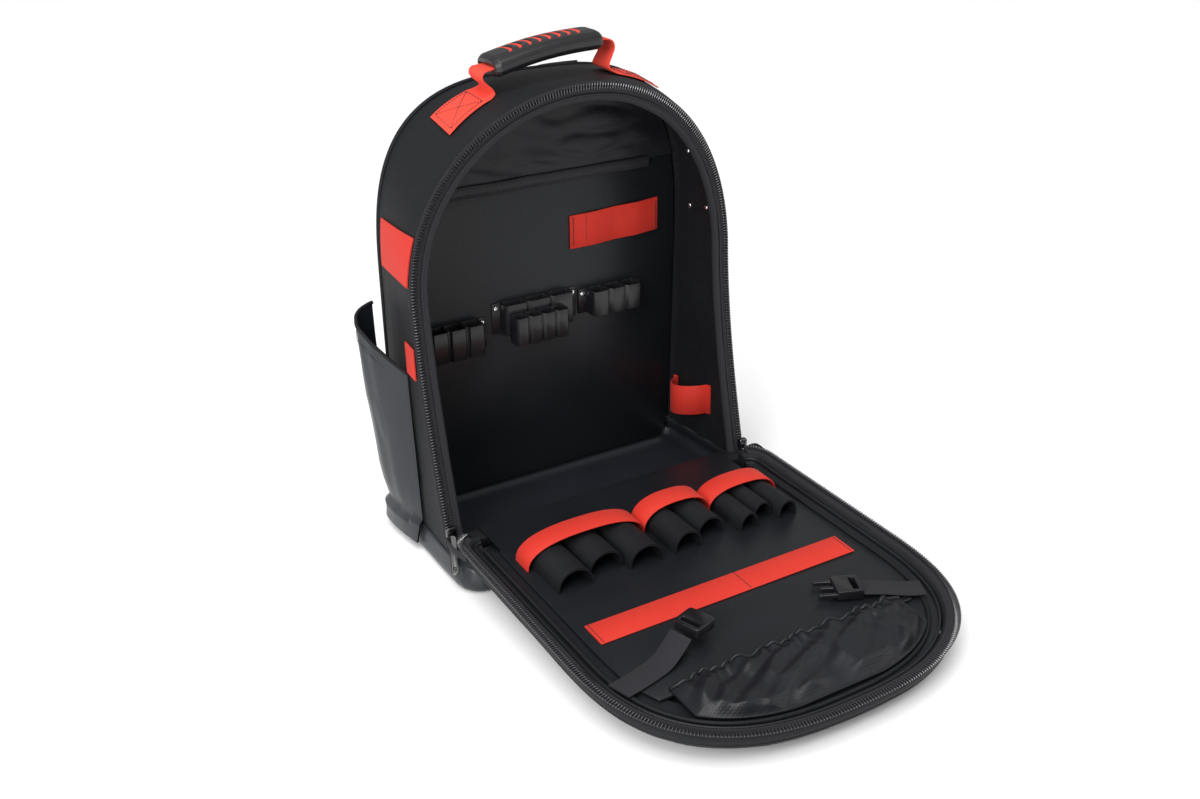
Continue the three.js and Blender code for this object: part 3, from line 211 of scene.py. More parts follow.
@dataclass(frozen=True)
class BagShape:
    """The walls of the bag: an arch seen from the front, with a front edge that leans back."""

    half: float = 186
    foot: float = 15
    height: float = 450
    skew: float = 6
    rise: float = 254
    power: float = 2.04
    back_power: float = 3.1
    depth: float = 148
    wall: float = 4
    back_inset: float = 9
    back_round: float = 8
    crown_drop: float = 5
    sweep: float = 57
    sweep_share: float = 0.68
    brow: float = 37
    seam: float = 28
    settle: int = 12

    @property
    def spring(self) -> float:
        """Height at which the arch starts."""
        return self.foot + self.rise

    def front(self, z: float) -> float:
        """How far the front edge lies back at a height.

        Args:
            z: The height over the floor.

        Returns:
            The edge's y, on a cubic curve with its furthest point at `sweep_share`.
        """
        share = (z - self.foot) / self.height
        s, d, b = self.sweep, self.sweep_share, self.brow
        third = (b - 2 * s / d + s / d**2) / (1 - d) ** 2
        second = -s / d**2 - 2 * d * third
        first = 2 * s / d + d**2 * third
        return share * (first + share * (second + share * third))

    def lean(self, x: float, z: float) -> float:
        """Sets the right side in towards its foot.

        Args:
            x: The place across the bag.
            z: Its height.

        Returns:
            The place after the lean.
        """
        return x - self.skew * max(1 - z / self.spring, 0) if x > 0 else x

    def outline(self, share: float, inset: float, sides: int = 20, arch: int = 52) -> Pairs:
        """The front view of the walls at a share of their depth.

        Args:
            share: 0 at the opening, 1 at the back.
            inset: Distance inside the outer face.
            sides: Steps on each straight side.
            arch: Steps on each half of the arch.

        Returns:
            Pairs of x and z from the left foot over the crown to the right foot.
        """
        half = self.half - self.back_inset * share - inset
        crown = self.foot + self.height - self.crown_drop * share - inset
        power = mix(self.power, self.back_power, share)
        left = [(-half, mix(self.seam + GAP, self.spring, k / sides)) for k in range(sides)]
        for k in range(arch + 1):
            angle = k / arch * math.pi / 2
            across = max(math.cos(angle), 0) ** (2 / power)
            up = math.sin(angle) ** (2 / power)
            left.append((-half * across, self.spring + (crown - self.spring) * up))
        whole = [*left, *[(-x, z) for x, z in reversed(left[:-1])]]
        return [(self.lean(x, z), z) for x, z in whole]

    def loop(self, share: float, inset: float, out: float = 0) -> list[Vector]:
        """The same outline in space.

        Args:
            share: 0 at the opening, 1 at the back.
            inset: Distance inside the outer face.
            out: How far it is moved towards the viewer.

        Returns:
            The outline's points.
        """
        edge = self.outline(0, inset)
        points = []
        for (x, z), (_, height) in zip(self.outline(share, inset), edge):
            front = self.front(height)
            points.append(Vector((x, front + (self.depth - front) * share - out, z)))
        return points

    def wall_x(self, side: Side, y: float, z: float, inset: float = 0) -> float:
        """How far the wall's face stands from the middle plane.

        Args:
            side: Which wall.
            y: The depth.
            z: The height.
            inset: Distance inside the outer face.

        Returns:
            The distance, never below zero.
        """
        front = self.front(z)
        share = min(max((y - front) / (self.depth - front), 0), 1)
        half = self.half - self.back_inset * share - inset
        crown = self.foot + self.height - self.crown_drop * share - inset
        power = mix(self.power, self.back_power, share)
        up = min(max((z - self.spring) / (crown - self.spring), 0), 1)
        x = half * max(1 - up**power, 0) ** (1 / power)
        return abs(self.lean(x * side.value, z))

    def crown_z(self, x: float, y: float) -> float:
        """Height of the wall's outer face over a place.

        Args:
            x: The place across the bag.
            y: The depth.

        Returns:
            The height, settled in a few rounds because the front edge leans with it.
        """
        z = self.foot + self.height
        for _ in range(self.settle):
            front = self.front(z)
            share = min(max((y - front) / (self.depth - front), 0), 1)
            half = self.half - self.back_inset * share
            crown = self.foot + self.height - self.crown_drop * share
            power = mix(self.power, self.back_power, share)
            across = min(abs(x) / half, 1)
            z = self.spring + (crown - self.spring) * max(1 - across**power, 0) ** (1 / power)
        return z


@dataclass(frozen=True)
class DoorShape:
    """The door as it lies open: a flat tray with an arched far end."""

    half: float = 186
    hinge: float = -15
    length: float = 385
    corner: float = 22
    spring_share: float = 0.564
    power: float = 2.585
    top: float = 51
    slope: float = 0.046
    rim: float = 18
    wall: float = 10
    below: float = 5
    board_half: float = 155
    board_rear: float = 4
    board_far: float = -308
    board_thick: float = 3
    skew: float = 6

    def rim_top(self, y: float) -> float:
        """Height of the rim's top at a distance from the hinge."""
        return self.top + self.slope * (y - self.hinge)

    def board_top(self, y: float) -> float:
        """Height of the board's upper face."""
        return self.rim_top(y) - self.below

    def loop(self, inset: float, corner: int = 10, sides: int = 24, arch: int = 56) -> Pairs:
        """The door's outline from its left hinge corner round the far end.

        Args:
            inset: Distance inside the outer edge.
            corner: Steps round each corner at the hinge.
            sides: Steps on each straight side.
            arch: Steps on each half of the far arch.

        Returns:
            Pairs of x and y.
        """
        half = self.half - inset
        far = self.length - inset
        spring = self.length * self.spring_share
        radius = max(self.corner - inset, 3)
        left = []
        for k in range(corner + 1):
            angle = k / corner * math.pi / 2
            left.append((-half + radius * (1 - math.sin(angle)), inset + radius * (1 - math.cos(angle))))
        for k in range(1, sides):
            left.append((-half, mix(inset + radius, spring, k / sides)))
        for k in range(arch + 1):
            angle = k / arch * math.pi / 2
            across = max(math.cos(angle), 0) ** (2 / self.power)
            left.append((-half * across, spring + (far - spring) * math.sin(angle) ** (2 / self.power)))
        whole = [*left, *[(-x, v) for x, v in reversed(left[:-1])]]
        return [(x - self.skew * max(1 - v / spring, 0) if x > 0 else x, self.hinge - v) for x, v in whole]

    def line(self, inset: float, down: float) -> list[Vector]:
        """The outline in space.

        Args:
            inset: Distance inside the outer edge.
            down: Depth under the rim's top.

        Returns:
            The outline's points.
        """
        return [Vector((x, y, self.rim_top(y) - down)) for x, y in self.loop(inset)]


BAG = BagShape()
DOOR = DoorShape()


# Finishes


def node_group(
    name: str, inputs: dict[str, tuple[str, float]], outputs: dict[str, str]
) -> bpy.types.ShaderNodeTree:
    """An empty shader node group.

    Args:
        name: The group's name.
        inputs: Socket kind and first value by name.
        outputs: Socket kind by name.

    Returns:
        The group, with its input node "in" and output node "out".
    """
    group = bpy.data.node_groups.new(name, "ShaderNodeTree")
    for label, (kind, value) in inputs.items():
        socket = group.interface.new_socket(name=label, in_out="INPUT", socket_type=kind)
        if kind == "NodeSocketFloat":
            socket.default_value = value
    for label, kind in outputs.items():
        group.interface.new_socket(name=label, in_out="OUTPUT", socket_type=kind)
    group.nodes.new("NodeGroupInput").name = "in"
    group.nodes.new("NodeGroupOutput").name = "out"
    return group


class Wiring:
    """Adds and joins the nodes of one tree."""

    def __init__(self, tree: bpy.types.NodeTree) -> None:
        """Keeps the tree."""
        self.tree = tree

    def math(self, kind: str, a: object, b: object = None) -> bpy.types.NodeSocket:
        """Adds a maths node.

        Args:
            kind: The operation.
            a: The first socket or number.
            b: The second one, if the operation has two.

        Returns:
            The node's output.
        """
        node = self.tree.nodes.new("ShaderNodeMath")
        node.operation = kind
        for k, value in enumerate((a, b)):
            if isinstance(value, bpy.types.NodeSocket):
                self.tree.links.new(value, node.inputs[k])
            elif value is not None:
                node.inputs[k].default_value = value
        return node.outputs[0]

    def noise(self, place: bpy.types.NodeSocket, scale: float, detail: float = 2) -> bpy.types.NodeSocket:
        """Adds soft noise.

        Args:
            place: Where the noise is read.
            scale: How fine it is.
            detail: How many finer layers it has.

        Returns:
            The noise, from 0 to 1.
        """
        node = self.tree.nodes.new("ShaderNodeTexNoise")
        node.inputs["Scale"].default_value = scale
        node.inputs["Detail"].default_value = detail
        self.tree.links.new(place, node.inputs["Vector"])
        return node.outputs["Fac"]

    def split(self, place: bpy.types.NodeSocket) -> bpy.types.Node:
        """Splits a place.

        Args:
            place: The place.

        Returns:
            A node with the place's three numbers as outputs.
        """
        node = self.tree.nodes.new("ShaderNodeSeparateXYZ")
        self.tree.links.new(place, node.inputs[0])
        return node

    def tint(self, mask: object, low: Sequence[float], high: Sequence[float]) -> bpy.types.NodeSocket:
        """Mixes two colours.

        Args:
            mask: 0 for the low colour and 1 for the high one.
            low: The low colour.
            high: The high colour.

        Returns:
            The colour.
        """
        node = self.tree.nodes.new("ShaderNodeMix")
        node.data_type = "RGBA"
        self.tree.links.new(mask, node.inputs[0])
        node.inputs[6].default_value = (*low, 1)
        node.inputs[7].default_value = (*high, 1)
        return node.outputs[2]


def threads_group() -> bpy.types.ShaderNodeTree:
    """Builds the group for crossing threads.

    Returns:
        A group that gives a relief of small bumps, by place.
    """
    inputs = {
        "Place": ("NodeSocketVector", 0),
        "Across": ("NodeSocketFloat", 4000),
        "Along": ("NodeSocketFloat", 4000),
    }
    group = node_group("threads", inputs, {"Relief": "NodeSocketFloat"})
    w = Wiring(group)
    source = group.nodes["in"]
    place = w.split(source.outputs["Place"])
    a = w.math("SINE", w.math("MULTIPLY", place.outputs[0], source.outputs["Across"]))
    b = w.math("SINE", w.math("MULTIPLY", place.outputs[1], source.outputs["Along"]))
    c = w.math("SINE", w.math("MULTIPLY", place.outputs[2], source.outputs["Along"]))
    total = w.math("ADD", w.math("ADD", a, b), c)
    group.links.new(w.math("MULTIPLY_ADD", total, 0.2), group.nodes["out"].inputs[0])
    return group


def ribs_group() -> bpy.types.ShaderNodeTree:
    """Builds the group for webbing: ribs across the strap, broken by its lengthwise threads.

    Returns:
        A group that gives the relief, by the strap's own map.
    """
    inputs = {
        "Strap": ("NodeSocketVector", 0),
        "Ribs": ("NodeSocketFloat", 4200),
        "Threads": ("NodeSocketFloat", 3600),
    }
    group = node_group("webbing_ribs", inputs, {"Relief": "NodeSocketFloat"})
    w = Wiring(group)
    source = group.nodes["in"]
    place = w.split(source.outputs["Strap"])
    thread = w.math("MULTIPLY", place.outputs[0], source.outputs["Threads"])
    rib = w.math("MULTIPLY", place.outputs[1], source.outputs["Ribs"])
    wave = w.math("SINE", w.math("ADD", rib, w.math("SINE", thread)))
    cross = w.math("ABSOLUTE", w.math("SINE", w.math("MULTIPLY", thread, 0.5)))
    group.links.new(w.math("ADD", w.math("MULTIPLY", wave, 0.5), cross), group.nodes["out"].inputs[0])
    return group


def handling_group() -> bpy.types.ShaderNodeTree:
    """Builds the group for dust, rubbing and dye drift, in two sizes of uneven tone.

    Returns:
        A group that gives the tone and the fine dust, by place.
    """
    group = node_group(
        "handling",
        {"Place": ("NodeSocketVector", 0), "Amount": ("NodeSocketFloat", 0.5)},
        {"Tone": "NodeSocketFloat", "Dust": "NodeSocketFloat"},
    )
    w = Wiring(group)
    source = group.nodes["in"]
    broad = w.noise(source.outputs["Place"], 14, 3)
    fine = w.noise(source.outputs["Place"], 420, 3)
    tone = w.math("ADD", w.math("MULTIPLY", broad, 0.6), w.math("MULTIPLY", fine, 0.4))
    group.links.new(w.math("MULTIPLY", tone, source.outputs["Amount"]), group.nodes["out"].inputs[0])
    group.links.new(w.math("POWER", fine, 3), group.nodes["out"].inputs[1])
    return group


class Grain(Enum):
    """What the surface of a finish is made of."""

    THREADS = "threads"
    RIBS = "webbing_ribs"
    SMOOTH = "smooth"


@dataclass(frozen=True)
class Finish:
    """One material: two close tones, its gloss, and the grain of its surface.

    `pitch` and `relief` are the grain's spacing and height in millimetres, and `level` is the strength of the
    plain reflection.
    """

    name: str
    slot: str
    dark: tuple[float, float, float]
    light: tuple[float, float, float]
    rough: float
    grain: Grain = Grain.THREADS
    pitch: float = 1.1
    relief: float = 0.15
    sheen: float = 0.0
    metal: float = 0.0
    coat: float = 0.0
    level: float = 0.5

    def material(self) -> bpy.types.Material:
        """Builds the material once.

        Returns:
            The material.
        """
        made = bpy.data.materials.get(self.name)
        if made:
            return made
        made = bpy.data.materials.new(self.name)
        made.use_nodes = True
        tree = made.node_tree
        w = Wiring(tree)
        shader = tree.nodes["Principled BSDF"]
        shader.inputs["Metallic"].default_value = self.metal
        shader.inputs["Sheen Weight"].default_value = self.sheen
        shader.inputs["Sheen Roughness"].default_value = 0.4
        shader.inputs["Coat Weight"].default_value = self.coat
        shader.inputs["Specular IOR Level"].default_value = self.level
        where = tree.nodes.new("ShaderNodeTexCoord")
        wear = tree.nodes.new("ShaderNodeGroup")
        wear.node_tree = bpy.data.node_groups.get("handling") or handling_group()
        wear.inputs["Amount"].default_value = 1.0
        tree.links.new(where.outputs["Object"], wear.inputs["Place"])
        relief = self.surface(tree, where) or wear.outputs["Dust"]
        mask = w.math("ADD", wear.outputs["Tone"], w.math("MULTIPLY", relief, 0.18))
        tree.links.new(w.tint(mask, self.dark, self.light), shader.inputs["Base Color"])
        rough = w.math("ADD", w.math("MULTIPLY", wear.outputs["Tone"], 0.16), self.rough - 0.08)
        tree.links.new(rough, shader.inputs["Roughness"])
        bump = tree.nodes.new("ShaderNodeBump")
        bump.inputs["Strength"].default_value = min(self.relief * 4, 1)
        bump.inputs["Distance"].default_value = self.relief * MM
        tree.links.new(relief, bump.inputs["Height"])
        tree.links.new(bump.outputs["Normal"], shader.inputs["Normal"])
        return made

    def surface(self, tree: bpy.types.NodeTree, where: bpy.types.Node) -> Optional[bpy.types.NodeSocket]:
        """Places the group that this finish's grain calls for.

        Args:
            tree: The material's nodes.
            where: The node that gives places.

        Returns:
            The grain's relief, or None on a smooth finish.
        """
        turn = 2 * math.pi / (self.pitch * MM)
        if self.grain is Grain.THREADS:
            cloth = tree.nodes.new("ShaderNodeGroup")
            cloth.node_tree = bpy.data.node_groups.get("threads") or threads_group()
            cloth.inputs["Across"].default_value = turn
            cloth.inputs["Along"].default_value = turn
            tree.links.new(where.outputs["Object"], cloth.inputs["Place"])
            return cloth.outputs["Relief"]
        if self.grain is Grain.RIBS:
            strap = tree.nodes.new("ShaderNodeGroup")
            strap.node_tree = bpy.data.node_groups.get("webbing_ribs") or ribs_group()
            strap.inputs["Ribs"].default_value = turn
            strap.inputs["Threads"].default_value = turn * 0.8
            tree.links.new(where.outputs["UV"], strap.inputs["Strap"])
            return strap.outputs["Relief"]
        return None


WOVEN = Finish(
    "woven_black", "woven", dark=(0.003, 0.003, 0.004), light=(0.011, 0.012, 0.014), rough=0.62,
    pitch=1.7, relief=0.24, level=0.22,
)
COATED = Finish(
    "coated_black", "coated", dark=(0.006, 0.007, 0.009), light=(0.017, 0.020, 0.027), rough=0.38,
    pitch=1.2, relief=0.06, level=0.5,
)
BOARD = Finish(
    "board_black", "coated", dark=(0.003, 0.004, 0.005), light=(0.011, 0.012, 0.015), rough=0.38,
    pitch=2.0, relief=0.12, level=0.32,
)
NYLON = Finish(
    "nylon_black", "nylon", dark=(0.003, 0.003, 0.004), light=(0.014, 0.015, 0.019), rough=0.44,
    pitch=2.2, relief=0.18, level=0.3,
)
BLACK_WEB = Finish(
    "webbing_black", "webbing_black", dark=(0.003, 0.003, 0.004), light=(0.014, 0.014, 0.017), rough=0.55,
    grain=Grain.RIBS, pitch=2.4, relief=0.4, level=0.3,
)
RED_WEB = Finish(
    "webbing_red", "webbing_red", dark=(0.40, 0.014, 0.008), light=(0.62, 0.034, 0.019), rough=0.72,
    grain=Grain.RIBS, pitch=2.4, relief=0.4, sheen=0.06, level=0.3,
)
RED_FLAT = Finish(
    "elastic_red", "webbing_red", dark=(0.44, 0.016, 0.009), light=(0.62, 0.034, 0.019), rough=0.7,
    grain=Grain.RIBS, pitch=0.9, relief=0.1, sheen=0.04, level=0.3,
)
PLASTIC = Finish(
    "moulded_black", "plastic", dark=(0.005, 0.005, 0.006), light=(0.012, 0.012, 0.014), rough=0.3,
    grain=Grain.SMOOTH, relief=0.04,
)
RUBBER = Finish(
    "grip_black", "plastic", dark=(0.005, 0.005, 0.006), light=(0.013, 0.013, 0.015), rough=0.36,
    grain=Grain.SMOOTH, relief=0.06,
)
METAL = Finish(
    "plated_steel", "metal", dark=(0.55, 0.56, 0.58), light=(0.85, 0.86, 0.88), rough=0.22,
    grain=Grain.SMOOTH, relief=0.02, metal=1.0,
)
GUNMETAL = Finish(
    "slider_metal", "metal", dark=(0.06, 0.06, 0.065), light=(0.16, 0.16, 0.17), rough=0.28,
    grain=Grain.SMOOTH, relief=0.03, metal=1.0,
)
THREAD = Finish(
    "thread_black", "webbing_black", dark=(0.006, 0.006, 0.007), light=(0.02, 0.02, 0.022), rough=0.6,
    grain=Grain.SMOOTH,
)
COIL = Finish(
    "zip_coil", "webbing_black", dark=(0.006, 0.006, 0.007), light=(0.032, 0.032, 0.036), rough=0.24,
    grain=Grain.SMOOTH, coat=0.5, level=0.7,
)


# The bench


class Bench:
    """Turns shapes in millimetres into finished pieces that ride on the frame."""

    def __init__(self) -> None:
        """Loads the frame and finds where the maker's own zero lies in it."""
        self.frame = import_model()
        self.cad_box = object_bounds()
        low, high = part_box("door_board")
        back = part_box("back_panel")[1].y
        self.shift = Vector(((low.x + high.x) / 2, back - BAG.depth * MM, 0))

    def at(self, point: Vector) -> Vector:
        """Moves a point into the frame.

        Args:
            point: The point in millimetres in the maker's frame.

        Returns:
            The point in metres in the frame.
        """
        return point * MM + self.shift

    def keep(self, piece: bpy.types.Object, finish: Finish, *nodes: str) -> bpy.types.Object:
        """Finishes a piece: material, body, and the solids that it stands for.

        Args:
            piece: The piece.
            finish: Its finish.
            nodes: The solids of the frame that it replaces.

        Returns:
            The same piece.
        """
        piece.data.materials.clear()
        piece.data.materials.append(finish.material())
        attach(piece, "root")
        if nodes:
            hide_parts(*nodes)
        log.info("%s: %d faces, %s", piece.name, len(piece.data.polygons), finish.name)
        return piece

    def alone(self, piece: bpy.types.Object) -> None:
        """Selects one piece and nothing else.

        Args:
            piece: The piece.
        """
        bpy.ops.object.select_all(action="DESELECT")
        piece.select_set(True)
        bpy.context.view_layer.objects.active = piece

    def modify(self, piece: bpy.types.Object, kind: str, **values: object) -> bpy.types.Object:
        """Adds a modifier and applies it.

        Args:
            piece: The piece.
            kind: The modifier's kind.
            values: Its settings by name.

        Returns:
            The same piece.
        """
        self.alone(piece)
        modifier = piece.modifiers.new(kind.lower(), kind)
        for key, value in values.items():
            setattr(modifier, key, value)
        bpy.ops.object.modifier_apply(modifier=modifier.name)
        return piece

    def shade(self, piece: bpy.types.Object, angle: float = 40) -> bpy.types.Object:
        """Smooths the shading where faces meet at less than an angle.

        Args:
            piece: The piece.
            angle: The angle in degrees.

        Returns:
            The same piece.
        """
        self.alone(piece)
        bpy.ops.object.shade_smooth_by_angle(angle=math.radians(angle))
        return piece

    def turn_out(self, piece: bpy.types.Object) -> bpy.types.Object:
        """Merges doubles and points all faces outwards.

        Args:
            piece: The piece.

        Returns:
            The same piece.
        """
        mesh = bmesh.new()
        mesh.from_mesh(piece.data)
        bmesh.ops.remove_doubles(mesh, verts=mesh.verts, dist=1e-6)
        bmesh.ops.recalc_face_normals(mesh, faces=mesh.faces)
        mesh.to_mesh(piece.data)
        mesh.free()
        return piece

    def loft(self, name: str, sections: Rows, angle: float = 40) -> bpy.types.Object:
        """Skins closed sections into a solid, with a map of metres around and along it.

        Args:
            name: The piece's name.
            sections: Closed sections of one length.
            angle: The angle under which its shading is smooth.

        Returns:
            The piece, not yet finished.
        """
        count, rows = len(sections[0]), len(sections)
        points = [self.at(p) for section in sections for p in section]
        along = [0.0]
        for a, b in zip(sections, sections[1:]):
            along.append(along[-1] + sum((q - p).length for p, q in zip(a, b)) / count * MM)
        around = []
        for section in sections:
            total = [0.0]
            for k in range(count):
                total.append(total[-1] + (section[(k + 1) % count] - section[k]).length * MM)
            around.append(total)
        faces, places = [], []
        for i in range(rows - 1):
            j = i + 1
            for k in range(count):
                n = (k + 1) % count
                faces.append((i * count + k, i * count + n, j * count + n, j * count + k))
                places += [(around[i][k], along[i]), (around[i][k + 1], along[i])]
                places += [(around[j][k + 1], along[i + 1]), (around[j][k], along[i + 1])]
        for i in (0, rows - 1):
            faces.append(tuple(i * count + k for k in range(count)))
            places += [(around[i][k], along[i]) for k in range(count)]
        data = bpy.data.meshes.new(name)
        data.from_pydata(points, [], faces)
        layer = data.uv_layers.new(name="strap")
        layer.data.foreach_set("uv", [value for pair in places for value in pair])
        piece = bpy.data.objects.new(name, data)
        bpy.context.scene.collection.objects.link(piece)
        return self.shade(self.turn_out(piece), angle)

    def sheet(self, name: str, rows: Rows, thick: float, angle: float = 60) -> bpy.types.Object:
        """A cloth of one thickness behind a grid of points on its face.

        Args:
            name: The piece's name.
            rows: The grid.
            thick: Its thickness, below zero to lay it on the other side.
            angle: The angle under which its shading is smooth.

        Returns:
            The piece, not yet finished.
        """
        sections = []
        for i, row in enumerate(rows):
            below, above = rows[max(i - 1, 0)], rows[min(i + 1, len(rows) - 1)]
            back = []
            for k, point in enumerate(row):
                across = row[min(k + 1, len(row) - 1)] - row[max(k - 1, 0)]
                normal = across.cross(above[k] - below[k])
                back.append(point + normal.normalized() * thick if normal.length > 1e-9 else point.copy())
            sections.append([*row, *reversed(back)])
        return self.loft(name, sections, angle=angle)

    def ribbon(
        self, name: str, path: Sequence[Vector], wide: Vector, width: float, thick: float = 1.5, up: float = 1
    ) -> bpy.types.Object:
        """A flat strap with soft edges along a path.

        Args:
            name: The piece's name.
            path: The middle of its underside.
            wide: The direction of its width.
            width: Its width.
            thick: Its thickness.
            up: 1 or -1, the side on which its thickness lies.

        Returns:
            The piece, not yet finished.
        """
        half, edge = width / 2, min(thick * 0.4, width * 0.2)
        under = [(edge - half, 0), (half - edge, 0), (half, 0.3), (half, 0.7)]
        over = [(half - edge, 1), (0, 1), (edge - half, 1), (-half, 0.7), (-half, 0.3)]
        sections = []
        for k, point in enumerate(path):
            way = path[min(k + 1, len(path) - 1)] - path[max(k - 1, 0)]
            rise = way.cross(wide).normalized() * thick * up
            side = wide.normalized()
            sections.append([point + side * a + rise * b for a, b in under + over])
        return self.loft(name, sections)

    def tube(self, name: str, path: Sequence[Vector], radius: float, sides: int = 8) -> bpy.types.Object:
        """Piping along a path.

        Args:
            name: The piece's name.
            path: Its middle line.
            radius: Its radius.
            sides: How many flats it has.

        Returns:
            The piece, not yet finished.
        """
        last = len(path) - 1
        side = Vector((0.31, 0.52, 0.8))
        sections = []
        for k, point in enumerate(path):
            way = (path[min(k + 1, last)] - path[max(k - 1, 0)]).normalized()
            side = (side - way * side.dot(way)).normalized()
            other = way.cross(side)
            turn = [2 * math.pi * n / sides for n in range(sides)]
            sections.append([point + (side * math.cos(t) + other * math.sin(t)) * radius for t in turn])
        return self.loft(name, sections, angle=80)

    def repeat(self, name: str, master: bpy.types.Object, places: Iterable[Matrix]) -> bpy.types.Object:
        """Copies one small modelled form to many places and joins the copies.

        Args:
            name: The joined piece's name.
            master: The form, in millimetres about its own zero. It is removed.
            places: Where each copy goes, in millimetres.

        Returns:
            The joined piece.
        """
        points = [v.co.copy() for v in master.data.vertices]
        faces = [tuple(p.vertices) for p in master.data.polygons]
        all_points, all_faces = [], []
        for place in places:
            start = len(all_points)
            all_points += [self.at(place @ p) for p in points]
            all_faces += [tuple(start + n for n in face) for face in faces]
        data = bpy.data.meshes.new(name)
        data.from_pydata(all_points, [], all_faces)
        piece = bpy.data.objects.new(name, data)
        bpy.context.scene.collection.objects.link(piece)
        bpy.data.objects.remove(master)
        return self.shade(piece, 50)

    def bead(self, length: float, width: float, height: float, sides: int = 6) -> bpy.types.Object:
        """A small rounded bar along x, the start of a tooth or a stitch.

        Args:
            length: Its length.
            width: Its width.
            height: Its height.
            sides: How many flats it has.

        Returns:
            The bar, about its own zero, in millimetres.
        """
        bpy.ops.object.select_all(action="DESELECT")
        bpy.ops.mesh.primitive_cylinder_add(vertices=sides, radius=0.5, depth=1, end_fill_type="TRIFAN")
        bar = bpy.context.object
        bpy.ops.object.mode_set(mode="EDIT")
        bpy.ops.mesh.select_all(action="SELECT")
        bpy.ops.mesh.bisect(plane_co=(0, 0, 0.28), plane_no=(0, 0, 1))
        bpy.ops.mesh.select_all(action="SELECT")
        bpy.ops.mesh.bisect(plane_co=(0, 0, -0.28), plane_no=(0, 0, 1))
        bpy.ops.object.mode_set(mode="OBJECT")
        for v in bar.data.vertices:
            pinch = 0.55 if abs(v.co.z) > 0.4 else 1
            v.co = Vector((v.co.z * length, v.co.x * width * pinch, v.co.y * height * pinch))
        return bar

    def along(self, path: Sequence[Vector], pitch: float, up: Vector, cross: bool = False) -> list[Matrix]:
        """Places for copies along a line.

        Args:
            path: The line.
            pitch: Distance between copies.
            up: The direction in which a copy's top points.
            cross: Whether a copy lies across the line.

        Returns:
            One matrix for each copy.
        """
        places = []
        for point, way in spread(path, pitch):
            rise = (up - way * up.dot(way)).normalized()
            x = way.cross(rise).normalized() if cross else way
            y = rise.cross(x)
            rows = Matrix((x, y, rise)).transposed().to_4x4()
            places.append(Matrix.Translation(point) @ rows)
        return places

    def stitch(
        self, name: str, lines: Sequence[Sequence[Vector]], up: Vector, pitch: float = 3.4
    ) -> bpy.types.Object:
        """Rows of thread stitches that lie on a surface.

        Args:
            name: The piece's name.
            lines: The seams.
            up: The direction that the surface faces.
            pitch: Distance between stitches.

        Returns:
            The finished piece.
        """
        places = [place for line in lines for place in self.along(line, pitch, up)]
        return self.keep(self.repeat(name, self.bead(pitch * 0.74, 0.9, 0.7), places), THREAD)

    def crumple(
        self,
        piece: bpy.types.Object,
        depth: float,
        size: Vector,
        seed: float = 0,
        mask: Optional[Callable[[Vector], float]] = None,
    ) -> bpy.types.Object:
        """Moves a cloth's points along its normals by smooth noise.

        Args:
            piece: The cloth.
            depth: How far at most, in millimetres.
            size: Length of a wave along each axis, in millimetres.
            seed: Which stretch of the noise is used.
            mask: How much a place takes part, from 0 to 1, by its place in millimetres.

        Returns:
            The same piece.
        """
        mesh = piece.data
        normals = [v.normal.copy() for v in mesh.vertices]
        for v, normal in zip(mesh.vertices, normals):
            place = (v.co - self.shift) / MM
            start = Vector((seed, seed * 1.7, seed))
            where = Vector((place.x / size.x, place.y / size.y, place.z / size.z)) + start
            value = noise.noise(where) + 0.4 * noise.noise(where * 2.1)
            amount = mask(place) if mask else 1
            v.co += normal * value * depth * amount * MM
        return piece

    def cloth(self, piece: bpy.types.Object, rows: Rows, held: str, *rests: str) -> None:
        """Takes a piece of cloth and the grid of its face, and does nothing with them.

        Args:
            piece: The cloth; not used.
            rows: The grid of points on its face; not used.
            held: How it is held; not used.
            rests: The nodes or pieces on which it lies; not used.
        """

    def copy_of(self, node: str, name: str) -> bpy.types.Object:
        """A merged copy of a solid of the frame, to be worked further.

        Args:
            node: The solid.
            name: The copy's name.

        Returns:
            The copy.
        """
        source = self.frame["nodes"][node]
        piece = bpy.data.objects.new(name, source.data.copy())
        bpy.context.scene.collection.objects.link(piece)
        mesh = bmesh.new()
        mesh.from_mesh(piece.data)
        bmesh.ops.remove_doubles(mesh, verts=mesh.verts, dist=1e-6)
        bmesh.ops.dissolve_limit(mesh, angle_limit=0.01, verts=mesh.verts, edges=mesh.edges)
        mesh.to_mesh(piece.data)
        mesh.free()
        return piece

    def moulded(self, node: str, name: str, bevel: float = 0.5, angle: float = 35) -> bpy.types.Object:
        """A copy of a hard solid with its edges rounded.

        Args:
            node: The solid.
            name: The copy's name.
            bevel: How wide the rounding is.
            angle: The angle, in degrees, past which an edge is rounded.

        Returns:
            The piece, not yet finished.
        """
        piece = self.copy_of(node, name)
        self.modify(piece, "BEVEL", width=bevel * MM, segments=2, limit_method="ANGLE",
                    angle_limit=math.radians(angle))
        return self.shade(piece, 40)

    def plump(self, node: str, name: str, voxel: float, rounds: int = 6) -> bpy.types.Object:
        """A copy of a soft solid, remeshed and smoothed so that it has no hard edge.

        Args:
            node: The solid.
            name: The copy's name.
            voxel: The size of the remeshed faces.
            rounds: How many times it is smoothed.

        Returns:
            The piece, not yet finished.
        """
        piece = self.copy_of(node, name)
        self.modify(piece, "REMESH", mode="VOXEL", voxel_size=voxel * MM)
        self.modify(piece, "SMOOTH", factor=0.5, iterations=rounds)
        return self.shade(piece, 80)


# The bag


